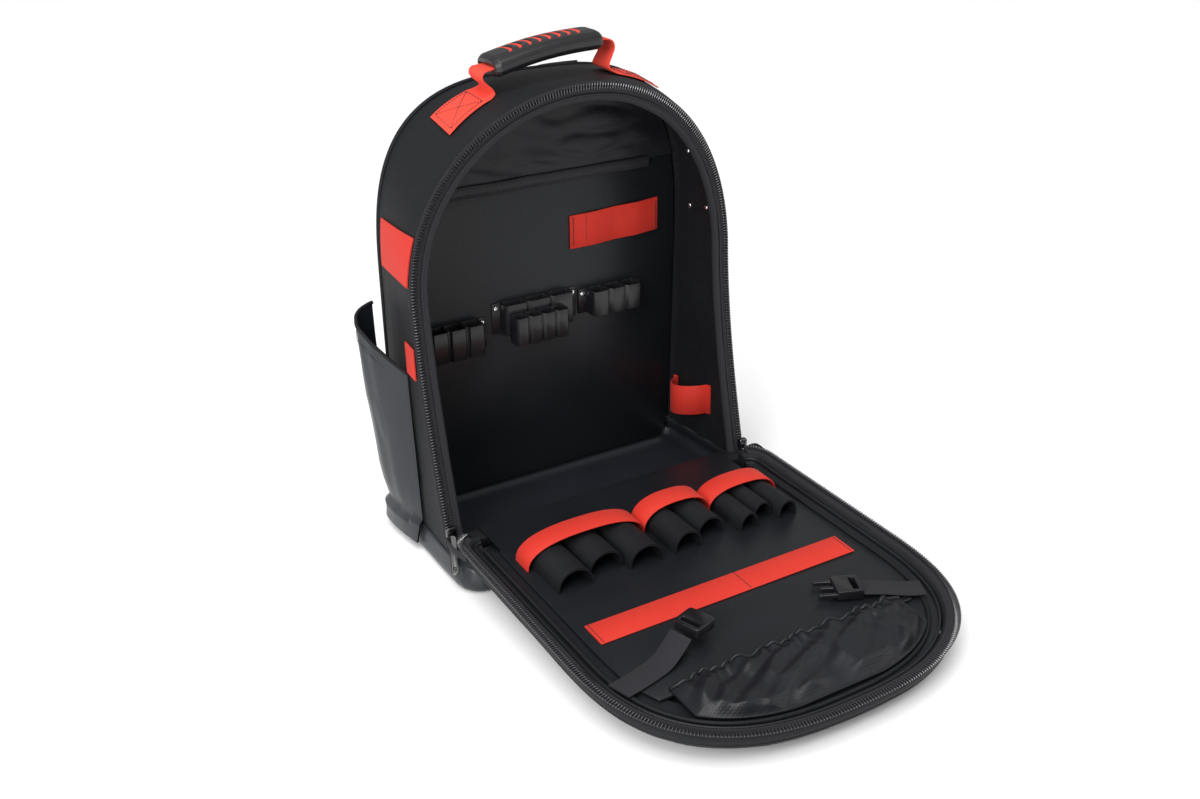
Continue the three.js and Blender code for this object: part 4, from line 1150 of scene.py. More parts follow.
@dataclass
class Zip:
    """A coil zip's teeth: `coil` is a tooth's length across the zip, `tooth` its width, `rise` its height."""

    coil: float = 6.0
    pitch: float = 3.0
    tooth: float = 1.9
    rise: float = 2.8

    def teeth(self, bench: Bench, name: str, path: Sequence[Vector], up: Vector) -> None:
        """Lays the teeth in a row.

        Args:
            bench: Where pieces are made.
            name: The row's name.
            path: The middle of the row.
            up: The direction that the zip faces.
        """
        places = bench.along(path, self.pitch, up, cross=True)
        bench.keep(bench.repeat(name, bench.bead(self.coil, self.tooth, self.rise), places), COIL)


@dataclass
class Shell:
    """The bag's body: walls, boot, back, lip, zip and bound edge."""

    bench: Bench
    zip: Zip = field(default_factory=Zip)
    depths: tuple[float, ...] = (0, 0.012, 0.06, 0.14, 0.24, 0.34, 0.44, 0.54, 0.64, 0.74, 0.84, 0.92)
    rounds: tuple[tuple[float, float], ...] = ((0.95, 0.12), (0.972, 0.38), (0.99, 0.68), (1, 1))
    piping: float = 2.3
    piping_share: float = 0.965
    piping_inset: float = 0.4
    tape: float = 11
    tape_thick: float = 1.2
    coil_inset: float = 3.8
    coil_rise: float = 0.9
    binding: float = 8
    binding_thick: float = 4.5
    binding_sides: int = 14
    seams: tuple[tuple[float, float], ...] = ((7.4, 0.25), (12.2, 2.2))

    def build(self) -> None:
        """Builds and dresses every piece of the body."""
        self.walls()
        self.boot()
        self.back()
        self.front_edge()

    def walls(self) -> None:
        """The padded walls from the foot over the crown, with piping along the back edge."""
        rows = [(share, 0.0) for share in self.depths] + list(self.rounds)
        outer = [BAG.loop(share, BAG.back_round * turn) for share, turn in rows]
        inner = [BAG.loop(share, BAG.back_round * turn + BAG.wall) for share, turn in rows]
        walls = self.bench.loft("walls", across(outer + list(reversed(inner))), angle=70)
        self.bench.crumple(walls, 0.9, Vector((70, 60, 90)), 3.1, mask=lambda p: 1 if p.z > 60 else 0.2)
        self.bench.keep(walls, WOVEN, "shell_gusset")
        piping = BAG.loop(self.piping_share, self.piping_inset)
        self.bench.keep(self.bench.tube("back_piping", piping, self.piping), WOVEN)

    def boot(self) -> None:
        """The coated boot."""
        boot = self.bench.plump("base_boot", "boot", 2.6, 5)
        self.bench.keep(boot, COATED, "base_boot")

    def back(self) -> None:
        """The padded back, the low front lip and the cloth hinge."""
        self.bench.keep(self.bench.moulded("back_panel", "back_wall", 2.0), WOVEN, "back_panel")
        self.bench.keep(self.bench.moulded("front_lip", "lip", 1.2), WOVEN, "front_lip")
        self.bench.keep(self.bench.moulded("hinge_flap", "hinge_cloth", 0.8), WOVEN, "hinge_flap")

    def front_edge(self) -> None:
        """The zip along the opening and the rolled edge inside it."""
        bench = self.bench
        shape = [(-0.5, 0), (1.0, 1), (5, 1.2), (9, 1), (self.tape, 0.4)]
        low = [BAG.loop(0, inset, GAP) for inset, _ in shape]
        high = [BAG.loop(0, inset, GAP + self.tape_thick * up) for inset, up in shape]
        tape = bench.loft("opening_tape", across(low + list(reversed(high))))
        bench.keep(tape, BLACK_WEB, "shell_zip_tape")
        path = BAG.loop(0, self.coil_inset, GAP + self.tape_thick + self.coil_rise)
        self.zip.teeth(bench, "opening_teeth", path, TO_VIEWER)
        middle = self.tape + GAP + self.binding / 2
        rolls = []
        for k in range(self.binding_sides):
            turn = 2 * math.pi * k / self.binding_sides
            inset = middle - self.binding / 2 * math.cos(turn)
            rolls.append(BAG.loop(0, inset, -1 - self.binding_thick * math.sin(turn)))
        roll = bench.loft("opening_binding", across(rolls), angle=80)
        bench.crumple(roll, 0.5, Vector((22, 22, 22)), 7)
        bench.keep(roll, BLACK_WEB, "shell_binding")
        for k, (inset, lift) in enumerate(self.seams):
            line = BAG.loop(0, inset, GAP + self.tape_thick + lift)
            bench.stitch(f"opening_seam_{k + 1}", [line], TO_VIEWER, 3.2)


@dataclass
class Inside:
    """What the bag holds within: board, lining, elastic, holders and bands."""

    bench: Bench
    face: float = 135
    board_top: float = 350
    lining_clear: float = 4
    lining_steps: tuple[int, int] = (46, 90)
    hem: float = 12
    hem_share: float = 0.72
    hem_steps: int = 40
    elastic: tuple[float, float, float, float] = (36, 147, 265, 302)
    band: tuple[float, float, float, float] = (60, 126, 58, 36)
    band_off: float = 24
    tab: float = 1.6
    rivet: float = 3.2
    wall_rivets: tuple[tuple[float, float], ...] = ((78, 372), (104, 360), (84, 300), (112, 296))

    def build(self) -> None:
        """Builds and dresses every piece inside."""
        self.board()
        self.lining()
        self.elastics()
        self.holders()
        self.rivets()

    def board(self) -> None:
        """The stiff board with its rounded edge."""
        self.bench.keep(self.bench.moulded("tool_board", "back_board", 0.8), BOARD, "tool_board")

    def half_at(self, z: float, clear: float) -> float:
        """Half width inside the walls at the board's depth.

        Args:
            z: The height.
            clear: The distance kept from the wall.

        Returns:
            The half width.
        """
        return BAG.wall_x(Side.LEFT, self.face, z, BAG.wall + clear)

    def lining(self) -> None:
        """The creased nylon over the board, and its hem."""
        bench = self.bench
        top = BAG.crown_z(0, self.face) - BAG.wall - 6
        rows = []
        steps, wide = self.lining_steps
        for i in range(steps + 1):
            z = mix(self.board_top + GAP, top, i / steps)
            half = self.half_at(z, self.lining_clear)
            row = []
            for k in range(wide + 1):
                x = half * (2 * k / wide - 1)
                edge = min(1, 6 * min(i, steps - i) / steps) * min(1, 6 * min(k, wide - k) / wide)
                fold = noise.noise(Vector((x / 70 + z / 60, z / 26, 3)))
                fine = noise.noise(Vector((x / 24, z / 14, 9)))
                depth = 3.0 * abs(fold) + 0.7 * fine
                row.append(Vector((x, self.face - 1.6 - 1.7 * edge * depth, z)))
            rows.append(row)
        lining = bench.keep(bench.sheet("upper_lining", rows, -1.6), NYLON, "top_lining")
        bench.cloth(lining, rows, "stretched", "back_board")
        half = BAG.half * self.hem_share
        path = []
        for k in range(self.hem_steps + 1):
            y = self.face - 3 - 0.5 * noise.noise(Vector((k * 0.35, 0, 1)))
            z = self.board_top - 2.4 + 0.8 * noise.noise(Vector((k * 0.2, 4, 1)))
            path.append(Vector((mix(-half, half, k / self.hem_steps), y, z)))
        edge = bench.ribbon("lining_edge", path, Vector((0, 0, 1)), self.hem, 1.5, 1)
        bench.keep(edge, NYLON, "lining_hem")
        lines = [[p + Vector((0, -1.9, lift)) for p in path] for lift in (-4, 4)]
        bench.stitch("lining_seam", lines, TO_VIEWER)

    def elastics(self) -> None:
        """The red elastic on the board and the red bands on the side walls."""
        bench = self.bench
        left, right, low, high = self.elastic
        slack = [(0, 0), (0.25, 2.4), (0.5, 0.6), (0.75, 3), (1, 0)]
        path = []
        for k in range(25):
            y = self.face - 0.5 - table_at(slack, k / 24, 1)
            path.append(Vector((mix(left, right, k / 24), y, (low + high) / 2 + 3 * k / 24)))
        band = bench.ribbon("board_band", path, Vector((0, 0, 1)), high - low, 1.3)
        bench.keep(band, RED_FLAT, "board_elastic")
        seams = [[Vector((x, self.face - 3.2, low + 3)), Vector((x, self.face - 3.4, high - 1))]
                 for x in (left + 3, left + 19, right - 3)]
        bench.stitch("board_band_seams", seams, TO_VIEWER, 3)
        front, back, foot, width = self.band
        for side in Side:
            path = []
            for k in range(41):
                share = k / 40
                y, z = mix(front, back, share), foot + width / 2 + 4 - 10 * share
                bow = min(max((share - 0.1) / 0.8, 0), 1)
                off = self.band_off * max(math.sin(math.pi * bow), 0) ** 0.6
                x = BAG.wall_x(side, y, z - width / 2, BAG.wall) - GAP - 1.4 - off
                path.append(Vector((side.value * x, y, z)))
            piece = bench.ribbon(f"inner_band_{side.word}", path, Vector((0, 0, 1)), width, 1.4, side.value)
            bench.keep(piece, RED_FLAT, f"wall_band_{side.word}")

    def holders(self) -> None:
        """The moulded holder blocks with rounded edges."""
        for name in ("left", "middle", "small", "right"):
            piece = self.bench.moulded(f"holder_{name}", f"block_{name}", 0.45)
            self.bench.keep(piece, PLASTIC, f"holder_{name}")

    def rivets(self) -> None:
        """Domed rivets on the blocks' tabs, and on the right wall."""
        bench = self.bench
        places = {}
        for name in ("left", "middle", "right"):
            for end in "ab":
                low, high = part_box(f"rivet_{name}_{end}")
                places[f"rivet_{name}_{end}"] = ((low + high) / 2 - bench.shift) / MM
        for name, middle in places.items():
            seat = Vector((middle.x, self.face - self.tab - 2 * GAP, middle.z))
            place = Matrix.Translation(seat) @ Matrix.Rotation(math.pi / 2, 4, "X")
            bench.keep(bench.repeat(f"head_{name}", self.head(), [place]), METAL, name)
        wall = []
        for y, z in self.wall_rivets:
            x = BAG.wall_x(Side.RIGHT, y, z, BAG.wall) - 0.3
            wall.append(Matrix.Translation(Vector((x, y, z))) @ Matrix.Rotation(-math.pi / 2, 4, "Y"))
        bench.keep(bench.repeat("wall_rivets", self.head(), wall), METAL)

    def head(self) -> bpy.types.Object:
        """Models one rivet's head, dome up.

        Returns:
            The head, in millimetres about its own foot.
        """
        bpy.ops.object.select_all(action="DESELECT")
        bpy.ops.mesh.primitive_cylinder_add(vertices=20, radius=self.rivet, depth=0.8, location=(0, 0, 0.4))
        head = bpy.context.object
        bpy.ops.object.mode_set(mode="EDIT")
        bpy.ops.mesh.select_all(action="DESELECT")
        bpy.ops.object.mode_set(mode="OBJECT")
        for face in head.data.polygons:
            face.select = face.normal.z > 0.9
        bpy.ops.object.mode_set(mode="EDIT")
        bpy.ops.mesh.inset(thickness=0.7)
        bpy.ops.transform.translate(value=(0, 0, 0.6))
        bpy.ops.mesh.inset(thickness=1.0)
        bpy.ops.transform.translate(value=(0, 0, 0.4))
        bpy.ops.object.mode_set(mode="OBJECT")
        for v in head.data.vertices:
            v.co.z += 0.4
        return head


@dataclass
class Outside:
    """The side pocket, the red bands over it, and the small red tab on the other side.

    `girth` gives, by share from front to back, how far the mouth and the foot stand off the wall, and how
    high the mouth is. `boot` gives the boot's half width, its taper, and the heights at which the taper
    starts and ends and the boot stops.
    """

    bench: Bench
    front: float = 70
    back: float = 140
    foot: float = 9
    wall: float = 2
    boot: tuple[float, float, float, float, float] = (191, 5, 10, 28, 31)
    girth: tuple[tuple[float, float, float, float], ...] = (
        (0, 0, 0, 194), (0.12, 12, 7, 206), (0.35, 29, 18, 226), (0.6, 37, 24, 239), (0.8, 33, 24, 246),
        (0.92, 24, 19, 249), (1, 11, 6, 250))
    drop: tuple[tuple[float, float], ...] = (
        (0, 0.2), (0.04, 0.3), (0.09, 0.47), (0.15, 0.6), (0.22, 0.72), (0.3, 0.8), (0.65, 0.97), (1, 1))

    def build(self) -> None:
        """Builds and dresses the pieces on the outer walls."""
        self.pocket()
        self.bands()

    def wall_out(self, y: float, z: float) -> float:
        """The outer face of the left wall or the boot.

        Args:
            y: The depth.
            z: The height.

        Returns:
            Its distance from the middle plane.
        """
        half, taper, foot, seam, top = self.boot
        boot = half - taper * max(0, min(1, (z - foot) / (seam - foot))) if z < top else 0
        return max(BAG.wall_x(Side.LEFT, y, z), boot)

    def pocket(self) -> None:
        """The slack pocket with a bound mouth."""
        bench = self.bench
        rows, mouth = [], []
        steps, rise = 40, 46
        for i in range(steps + 1):
            share = i / steps
            top, out, foot = (self.ease(share, c) for c in (3, 1, 2))
            row = []
            for k in range(rise + 1):
                up = k / rise
                z = mix(self.foot, top, up)
                stand = mix(foot, out, up) * table_at(self.drop, up, 1)
                y = mix(self.front, self.back, share) + (1 - share) * 6 - (1 - share) * 12 * (1 - up)
                row.append(Vector((-(self.wall_out(y, z) + GAP + 0.6 + stand + self.wall), y, z)))
            rows.append(row)
            mouth.append(row[-1] + Vector((self.wall / 2, 0, 0)))
        pocket = bench.sheet("outer_pocket", rows, -self.wall, 70)
        bench.crumple(pocket, 1.9, Vector((60, 24, 150)), 5, lambda p: min(max((p.z - 20) / 60, 0), 1))
        bench.keep(pocket, COATED, "side_pocket")
        bench.cloth(pocket, rows, "hung", "walls", "boot")
        bench.keep(bench.tube("pocket_binding", mouth, 2.0), WOVEN)
        line = [row[-4] + Vector((-1.3, 0, 0)) for row in rows[2:-2]]
        bench.stitch("pocket_seam", [line], TO_LEFT)

    def ease(self, share: float, column: int) -> float:
        """Reads the girth table on a soft line.

        Args:
            share: Where to read, from the pocket's front to its back.
            column: Which column to read.

        Returns:
            The column's number there.
        """
        near = [table_at(self.girth, min(max(share + d, 0), 1), column) for d in (-0.04, 0, 0.04)]
        return near[1] if share in (0, 1) else sum(near) / 3

    def bands(self) -> None:
        """Red bands on the left wall and the red tab on the right one."""
        bench = self.bench
        for name, y0, y1, z0, z1 in (("upper", 58, 132, 290, 338), ("lower", 52, 76, 196, 229)):
            rows = []
            for i in range(13):
                y = mix(y0, y1, i / 12)
                row = []
                for k in range(9):
                    z = mix(z0, z1, k / 8)
                    row.append(Vector((-(BAG.wall_x(Side.LEFT, y, z) + GAP + 1.8), y, z)))
                rows.append(row)
            bench.keep(bench.sheet(f"outer_band_{name}", rows, -1.4), RED_FLAT, f"side_band_{name}")
        low, high = (corner / MM - bench.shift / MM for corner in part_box("side_loop"))
        middle = (low + high) / 2
        path = [Vector((low.x, middle.y, middle.z)), Vector((high.x - 1, middle.y, middle.z)),
                Vector((high.x, middle.y, middle.z - 1.5)), Vector((high.x - 1, middle.y, middle.z - 3)),
                Vector((low.x, middle.y, middle.z - 3.4))]
        loop = bench.ribbon("side_tab", smooth_path(path, 5), Vector((0, 1, 0)), high.y - low.y, 1.4)
        bench.keep(loop, RED_WEB, "side_loop")


@dataclass(frozen=True)
class HandleEnd:
    """One end of the handle's webbing: its root on the crown, and how its curl runs."""

    side: int
    root: float
    inner: float
    outer: float


@dataclass
class Handle:
    """The webbing that is sewn on the crown and runs through the moulded grip."""

    bench: Bench
    y: float = 93
    width: float = 41
    patch: float = 40
    inside: float = 30
    grip: tuple[float, float] = (-75, 43)
    height: tuple[float, float] = (478, 493)
    bow: float = 4
    ends: tuple[HandleEnd, HandleEnd] = (HandleEnd(-1, -86, -75, -86), HandleEnd(1, 66, 51, 58))
    slot_count: int = 8
    slot_start: float = 0.14
    slot_run: float = 0.72
    slot_half: float = 13
    slot_rise: float = 10.9
    section: tuple[tuple[float, float], ...] = (
        (-0.94, 0), (-0.4, 0), (0.4, 0), (0.94, 0), (1, 0.35), (1, 0.7), (0.94, 1), (0.4, 1.1), (-0.4, 1.1),
        (-0.94, 1), (-1, 0.7), (-1, 0.35))
    curl: tuple[tuple[float, ...], ...] = (
        (0.5, 0.5, 0, 0, 0.06, 0.95), (0, 1, 0, 0, 0.2, 0.82), (0, 0.85, 0.15, 0, 0.38, 0.72),
        (0, 0.3, 0.7, 0, 0.58, 0.68), (0, 0, 1, 0, 0.78, 0.7), (0, 0, 0.75, 0.25, 0.95, 0.75))

    def build(self) -> None:
        """Builds webbing, stitching and grip."""
        self.webbing()
        grip = self.bench.plump("handle_grip", "grip", 0.8, 3)
        self.bench.keep(grip, RUBBER, "handle_grip")
        self.slots()

    def slots(self) -> None:
        """The webbing that bulges up in the grip's eight crescent openings."""
        for k in range(self.slot_count):
            share = self.slot_start + self.slot_run * (k + 0.5) / self.slot_count
            x = mix(*self.grip, share)
            sections = []
            for n in range(13):
                v = 0.92 * (n / 6 - 1)
                low, high = x - 3 * v * v - 0.3, x + 5.3 - 8 * v * v
                top = self.level(share) + self.slot_rise - 0.9 * v * v
                y = self.y + self.slot_half * v
                edge = top - min((high - low) * 0.2, 0.8)
                crown = Vector(((low + high) / 2, y, top))
                foot = [Vector((low, y, top - 5)), Vector((high, y, top - 5))]
                sections.append([*foot, Vector((high, y, edge)), crown, Vector((low, y, edge))])
            self.bench.keep(self.bench.loft(f"grip_insert_{k + 1}", sections, angle=50), RED_WEB)

    def level(self, share: float) -> float:
        """Height of the webbing within the grip.

        Args:
            share: The place along the grip, from 0 at its left end to 1.

        Returns:
            The height of its underside.
        """
        return mix(*self.height, share) + self.bow * math.sin(math.pi * share)

    def half_run(self, end: HandleEnd, grip: float, height: float) -> list[tuple[float, ...]]:
        """Stations from the patch up to the grip.

        Args:
            end: The end that is laid.
            grip: Where the webbing enters the grip.
            height: Its height there.

        Returns:
            Rows of x, height, rise over the width, and width.
        """
        stations = []
        for k in range(9):
            x = end.root + end.side * self.patch * (1 - k / 8)
            front, back = (BAG.crown_z(x, self.y + s * self.width / 2) for s in (-1, 1))
            middle = BAG.crown_z(x, self.y)
            bulge = max(middle - (front + back) / 2, 0)
            stations.append((x, (front + back) / 2 + bulge + 1.2, back - front, self.width))
        base = stations[-1]
        for root, inner, outer, hand, up, width in self.curl:
            x = end.root * root + end.inner * inner + end.outer * outer + grip * hand
            stations.append((x, mix(base[1], height, up), base[2] * (1 - up), self.width * width))
        return [*stations, (grip, height, 0, self.inside)]

    def webbing(self) -> None:
        """One strap from patch to patch, with crossed stitching on both patches."""
        bench = self.bench
        left = self.half_run(self.ends[0], self.grip[0], self.level(0))
        right = self.half_run(self.ends[1], self.grip[1], self.level(1))
        middle = [(mix(*self.grip, s), self.level(s), 0, self.inside) for s in (0.25, 0.5, 0.75)]
        rows = [*left, *middle, *reversed(right)]
        line = smooth_path([Vector((x, z, 0)) for x, z, _, _ in rows], 4)
        facts = smooth_path([Vector((rise, width, 0)) for _, _, rise, width in rows], 4)
        sections = []
        for k, (place, fact) in enumerate(zip(line, facts)):
            way = line[min(k + 1, len(line) - 1)] - line[max(k - 1, 0)]
            up = Vector((-way.y, 0, way.x)).normalized() * 1.5
            rise, half = fact.x, fact.y / 2
            section = []
            for a, b in self.section:
                section.append(Vector((place.x, self.y + half * a, place.y + rise / 2 * a)) + up * b)
            sections.append(section)
        bench.keep(bench.loft("carry_webbing", sections, angle=60), RED_WEB, "handle_webbing")
        bench.stitch("carry_seams", self.seams(), UP, 3)

    def seams(self) -> Rows:
        """A box with a cross on each patch.

        Returns:
            The seams' lines.
        """
        lines = []
        for end in self.ends:
            near, far = end.root + end.side * 3, end.root + end.side * (self.patch - 3)
            low, high = self.y - self.width / 2 + 4, self.y + self.width / 2 - 4
            corners = [(near, low), (far, low), (far, high), (near, high)]
            for a, b in ((0, 1), (1, 2), (2, 3), (3, 0), (0, 2), (1, 3)):
                line = []
                for k in range(13):
                    x, y = (mix(corners[a][n], corners[b][n], k / 12) for n in (0, 1))
                    front, back = (BAG.crown_z(x, self.y + s * self.width / 2) for s in (-1, 1))
                    bulge = max(BAG.crown_z(x, self.y) - (front + back) / 2, 0)
                    z = mix(front, back, (y - self.y) / self.width + 0.5) + bulge
                    line.append(Vector((x, y, z + 3.2)))
                lines.append(line)
        return lines


@dataclass
class Harness:
    """What lies at the back: pad, yoke, shoulder straps and their webbing."""

    bench: Bench
    spread: tuple[float, float] = (84, 122)
    web: float = 25
    half: float = 31
    thick: float = 12
    roots: tuple[float, float] = (450, 458)
    end: float = 195
    channel_x: float = 42
    channel_z: float = 242
    channel_deep: float = 3.2
    channel_wide: float = 4
    pad_top: float = 412
    top_half: float = 38
    bow: float = 42
    yoke: float = 10
    pad: float = 14
    hang: tuple[tuple[float, float, float], ...] = (
        (0, 0, 0), (0.12, 0.03, 0), (0.22, 0.12, 0.5), (0.34, 0.3, 0.9), (0.52, 0.58, 1), (0.78, 0.9, 0.8),
        (1, 1, 0.25))
    pillow: tuple[tuple[float, float], ...] = (
        (-1, 0.45), (-0.96, 0.2), (-0.86, 0.08), (-0.5, 0), (0, 0), (0.5, 0), (0.86, 0.08), (0.96, 0.2),
        (1, 0.45), (0.97, 0.6), (0.88, 0.7), (0.84, 0.62), (0.79, 0.76), (0.5, 0.98), (0, 1.03), (-0.5, 0.98),
        (-0.79, 0.76), (-0.84, 0.62), (-0.88, 0.7), (-0.97, 0.6))

    def build(self) -> None:
        """Builds and dresses the harness."""
        bench = self.bench
        for node, name in (("back_pad", "rest_pad"), ("yoke", "strap_yoke")):
            pad = bench.plump(node, name, 3.5, 6)
            if node == "back_pad":
                self.swell(pad)
            self.channels(pad)
            bench.keep(pad, WOVEN, node)
        for side in Side:
            self.shoulder(side)
            self.lower(side)

    def shoulder(self, side: Side) -> None:
        """One padded shoulder strap in a single smooth bow, with its sewn edge on both sides.

        Args:
            side: Which strap.
        """
        top = self.roots[0] if side is Side.LEFT else self.roots[1]
        face = BAG.depth + GAP + self.yoke + GAP
        rows = []
        for share, out, off in self.hang:
            x = side.value * mix(self.top_half, self.spread[0], out)
            rows.append(Vector((x, face + self.bow * off, mix(top, self.end, share))))
        line = smooth_path(rows, 12)
        last = len(line) - 1
        sections = []
        for k, point in enumerate(line):
            way = line[min(k + 1, last)] - line[max(k - 1, 0)]
            out = Vector((1, 0, 0)).cross(way).normalized()
            full = min(1, 0.5 + 6 * min(k, last - k) / last)
            half, thick = self.half * (0.7 + 0.3 * full), self.thick * full
            sections.append([point + Vector((half * a, 0, 0)) + out * thick * b for a, b in self.pillow])
        strap = self.bench.loft(f"strap_pad_{side.word}", sections, angle=60)
        self.bench.crumple(strap, 0.7, Vector((34, 50, 40)), 6)
        self.bench.keep(strap, WOVEN, f"shoulder_strap_{side.word}")

    def swell(self, pad: bpy.types.Object) -> None:
        """Lets the pad fill like a cushion, by a short cloth simulation that is then applied.

        Args:
            pad: The pad.
        """
        start = [v.co.copy() for v in pad.data.vertices]
        self.bench.alone(pad)
        cloth = pad.modifiers.new("cloth", "CLOTH")
        cloth.settings.effector_weights.gravity = 0
        cloth.settings.use_pressure = True
        cloth.settings.uniform_pressure_force = 3
        cloth.settings.tension_stiffness = 30
        for frame in range(1, 13):
            bpy.context.scene.frame_set(frame)
        bpy.ops.object.modifier_apply(modifier="cloth")
        for v, before in zip(pad.data.vertices, start):
            move = v.co - before
            if move.length > 3 * MM:
                v.co = before + move.normalized() * 3 * MM
            v.co.y = max(v.co.y, before.y - 0.0001)
        bpy.context.scene.frame_set(1)

    def channels(self, pad: bpy.types.Object) -> None:
        """Presses sewn channels into a pad's face.

        Args:
            pad: The pad.
        """
        for v in pad.data.vertices:
            place = (v.co - self.bench.shift) / MM
            if v.normal.y > 0.5:
                level = abs(place.z - self.channel_z) if place.z < self.pad_top else self.pad_top
                near = min(abs(abs(place.x) - self.channel_x), level)
                v.co.y -= self.channel_deep * math.exp(-((near / self.channel_wide) ** 2)) * MM

    def lower(self, side: Side) -> None:
        """The lower webbing from the strap's end to the boot.

        Args:
            side: Which webbing.
        """
        back = BAG.depth + GAP
        face = back + self.pad
        sign, (top, foot) = side.value, self.spread
        rows = [
            (top, face + 11.5, self.end - GAP),
            (mix(top, foot, 0.35), face + 6, 145),
            (mix(top, foot, 0.75), face + 3, 92),
            (mix(top, foot, 0.92), face + 1, 72),
            (foot, back, 42),
        ]
        path = smooth_path([Vector((sign * x, y, z)) for x, y, z in rows], 8)
        piece = self.bench.ribbon(f"strap_web_{side.word}", path, Vector((1, 0, 0)), self.web, 1.4, -1)
        self.bench.keep(piece, BLACK_WEB, f"lower_webbing_{side.word}")


# The door


@dataclass
class Door:
    """The door as it lies open, with all that is sewn to its inner side."""

    bench: Bench
    zip: Zip = field(default_factory=Zip)
    rim_section: tuple[tuple[float, float], ...] = (
        (4.5, 18), (1.6, 15), (0.7, 12.6), (1.3, 11.8), (0.4, 11), (0, 7), (0, 4.4), (0.7, 2), (2.4, 0.4),
        (5, 0), (7.4, 0.3), (9.1, 1.8), (9.8, 4.4), (10, 9), (10, 18))
    tape_section: tuple[tuple[float, float, float], ...] = (
        (-4.2, 0.9, 1.9), (-2.4, 0.5, 1.9), (-0.6, -0.3, 1.1), (3, -0.6, 0.8), (6.4, -0.6, 0.7))
    tape_ends: int = 3
    coil: tuple[float, float] = (-2.5, -3.1)
    seam: tuple[float, float] = (4.6, -0.5)
    ledge_section: tuple[tuple[float, float], ...] = ((10.4, 5), (12.5, 7), (16, 8), (24, 8.6), (38, 8.8))
    ledge_thick: float = 1.4
    spans: tuple[tuple[float, float, int, float], ...] = (
        (-147, -16, 3, 1), (-16, 63, 2, 1), (63, 147, 3, 0.85))
    sleeve_edge: float = 6
    sleeve_gap: float = 1
    sleeve_stagger: float = 10
    sleeve_wall: float = 1.7
    sleeve_rear: float = -66
    sleeve_mouth: float = -138
    sleeve_rise: float = 20
    band_y: float = -81
    band_width: float = 25
    band_rise: float = 25
    band_thick: float = 1.4
    band_section: tuple[tuple[float, float], ...] = (
        (-1, 0.2), (-0.95, 0), (0.95, 0), (1, 0.2), (1, 0.7), (0.95, 1), (0, 1), (-0.95, 1), (-1, 0.7))
    tape_y: float = -207
    tape_half: float = 145
    tape_width: float = 30
    strap: float = 24
    left_strap: tuple[tuple[float, float, float], ...] = (
        (-166, -283, 0.9), (-145, -279, 0.8), (-117, -272, 1.5), (-100, -266, 8), (-88, -262, 16))
    right_strap: tuple[tuple[float, float, float], ...] = (
        (160, -302, 0.9), (145, -295, 0.9), (122, -283, 3), (106, -276, 4.5))
    hem: float = -304
    pocket_half: float = 128
    pocket_steps: tuple[int, int] = (60, 190)

    def build(self) -> None:
        """Builds and dresses every piece of the door."""
        self.rim()
        self.floor()
        self.sleeves()
        self.bands()
        self.flat_tape()
        self.gathered()
        self.straps()

    def rim(self) -> None:
        """The padded rim with its seam, and the zip along its outer edge."""
        bench = self.bench
        lines = [DOOR.line(inset, down) for inset, down in self.rim_section]
        rim = bench.loft("door_edge", across(lines), angle=55)
        bench.crumple(rim, 0.5, Vector((40, 40, 14)), 11)
        bench.keep(rim, WOVEN, "door_rim")
        low = [DOOR.line(inset, -a) for inset, a, _ in self.tape_section]
        high = [DOOR.line(inset, -a - b) for inset, a, b in self.tape_section]
        run = slice(self.tape_ends, -self.tape_ends)
        tape = bench.loft("door_tape", across(low + list(reversed(high)))[run])
        bench.keep(tape, BLACK_WEB, "door_zip_tape")
        self.zip.teeth(bench, "door_teeth", DOOR.line(*self.coil)[run], UP)
        bench.stitch("door_seam", [DOOR.line(*self.seam)[run]], UP, 3.4)

    def floor(self) -> None:
        """The lining ledge with its piping, the board, the panel and the closed pocket below."""
        bench = self.bench
        high = [DOOR.line(inset, down) for inset, down in self.ledge_section]
        low = [DOOR.line(inset, down + self.ledge_thick) for inset, down in self.ledge_section]
        ledge = bench.loft("inner_ledge", across(high + list(reversed(low))), angle=70)
        bench.crumple(ledge, 0.5, Vector((26, 26, 26)), 2)
        bench.keep(ledge, NYLON, "door_ledge")
        bench.keep(bench.tube("ledge_piping", DOOR.line(20.5, 6.9), 2.1, sides=10), WOVEN)
        bench.keep(bench.tube("rim_piping", DOOR.line(11.6, 3.6), 1.6), NYLON)
        board = bench.moulded("door_board", "door_inner_board", 0.9)
        bench.keep(board, BOARD, "door_board")
        bench.keep(bench.moulded("door_panel", "door_cloth", 0.8), WOVEN, "door_panel")
        pocket = bench.plump("door_outer_pocket", "front_pocket", 3.2, 5)
        bench.crumple(pocket, 1.2, Vector((60, 60, 30)), 4, mask=lambda p: 1 if 4 < p.z < 22 else 0)
        bench.keep(pocket, COATED, "door_outer_pocket")

    def sleeves(self) -> None:
        """Eight soft sleeves, two or three under each span of the band."""
        number = 0
        for left, right, count, rise in self.spans:
            width = (right - left - 2 * self.sleeve_edge) / count
            for k in range(count):
                number += 1
                start = left + self.sleeve_edge + width * k + self.sleeve_gap / 2
                mouth = self.sleeve_mouth + (k % 2) * self.sleeve_stagger
                self.sleeve(number, start, width - self.sleeve_gap, mouth, rise)

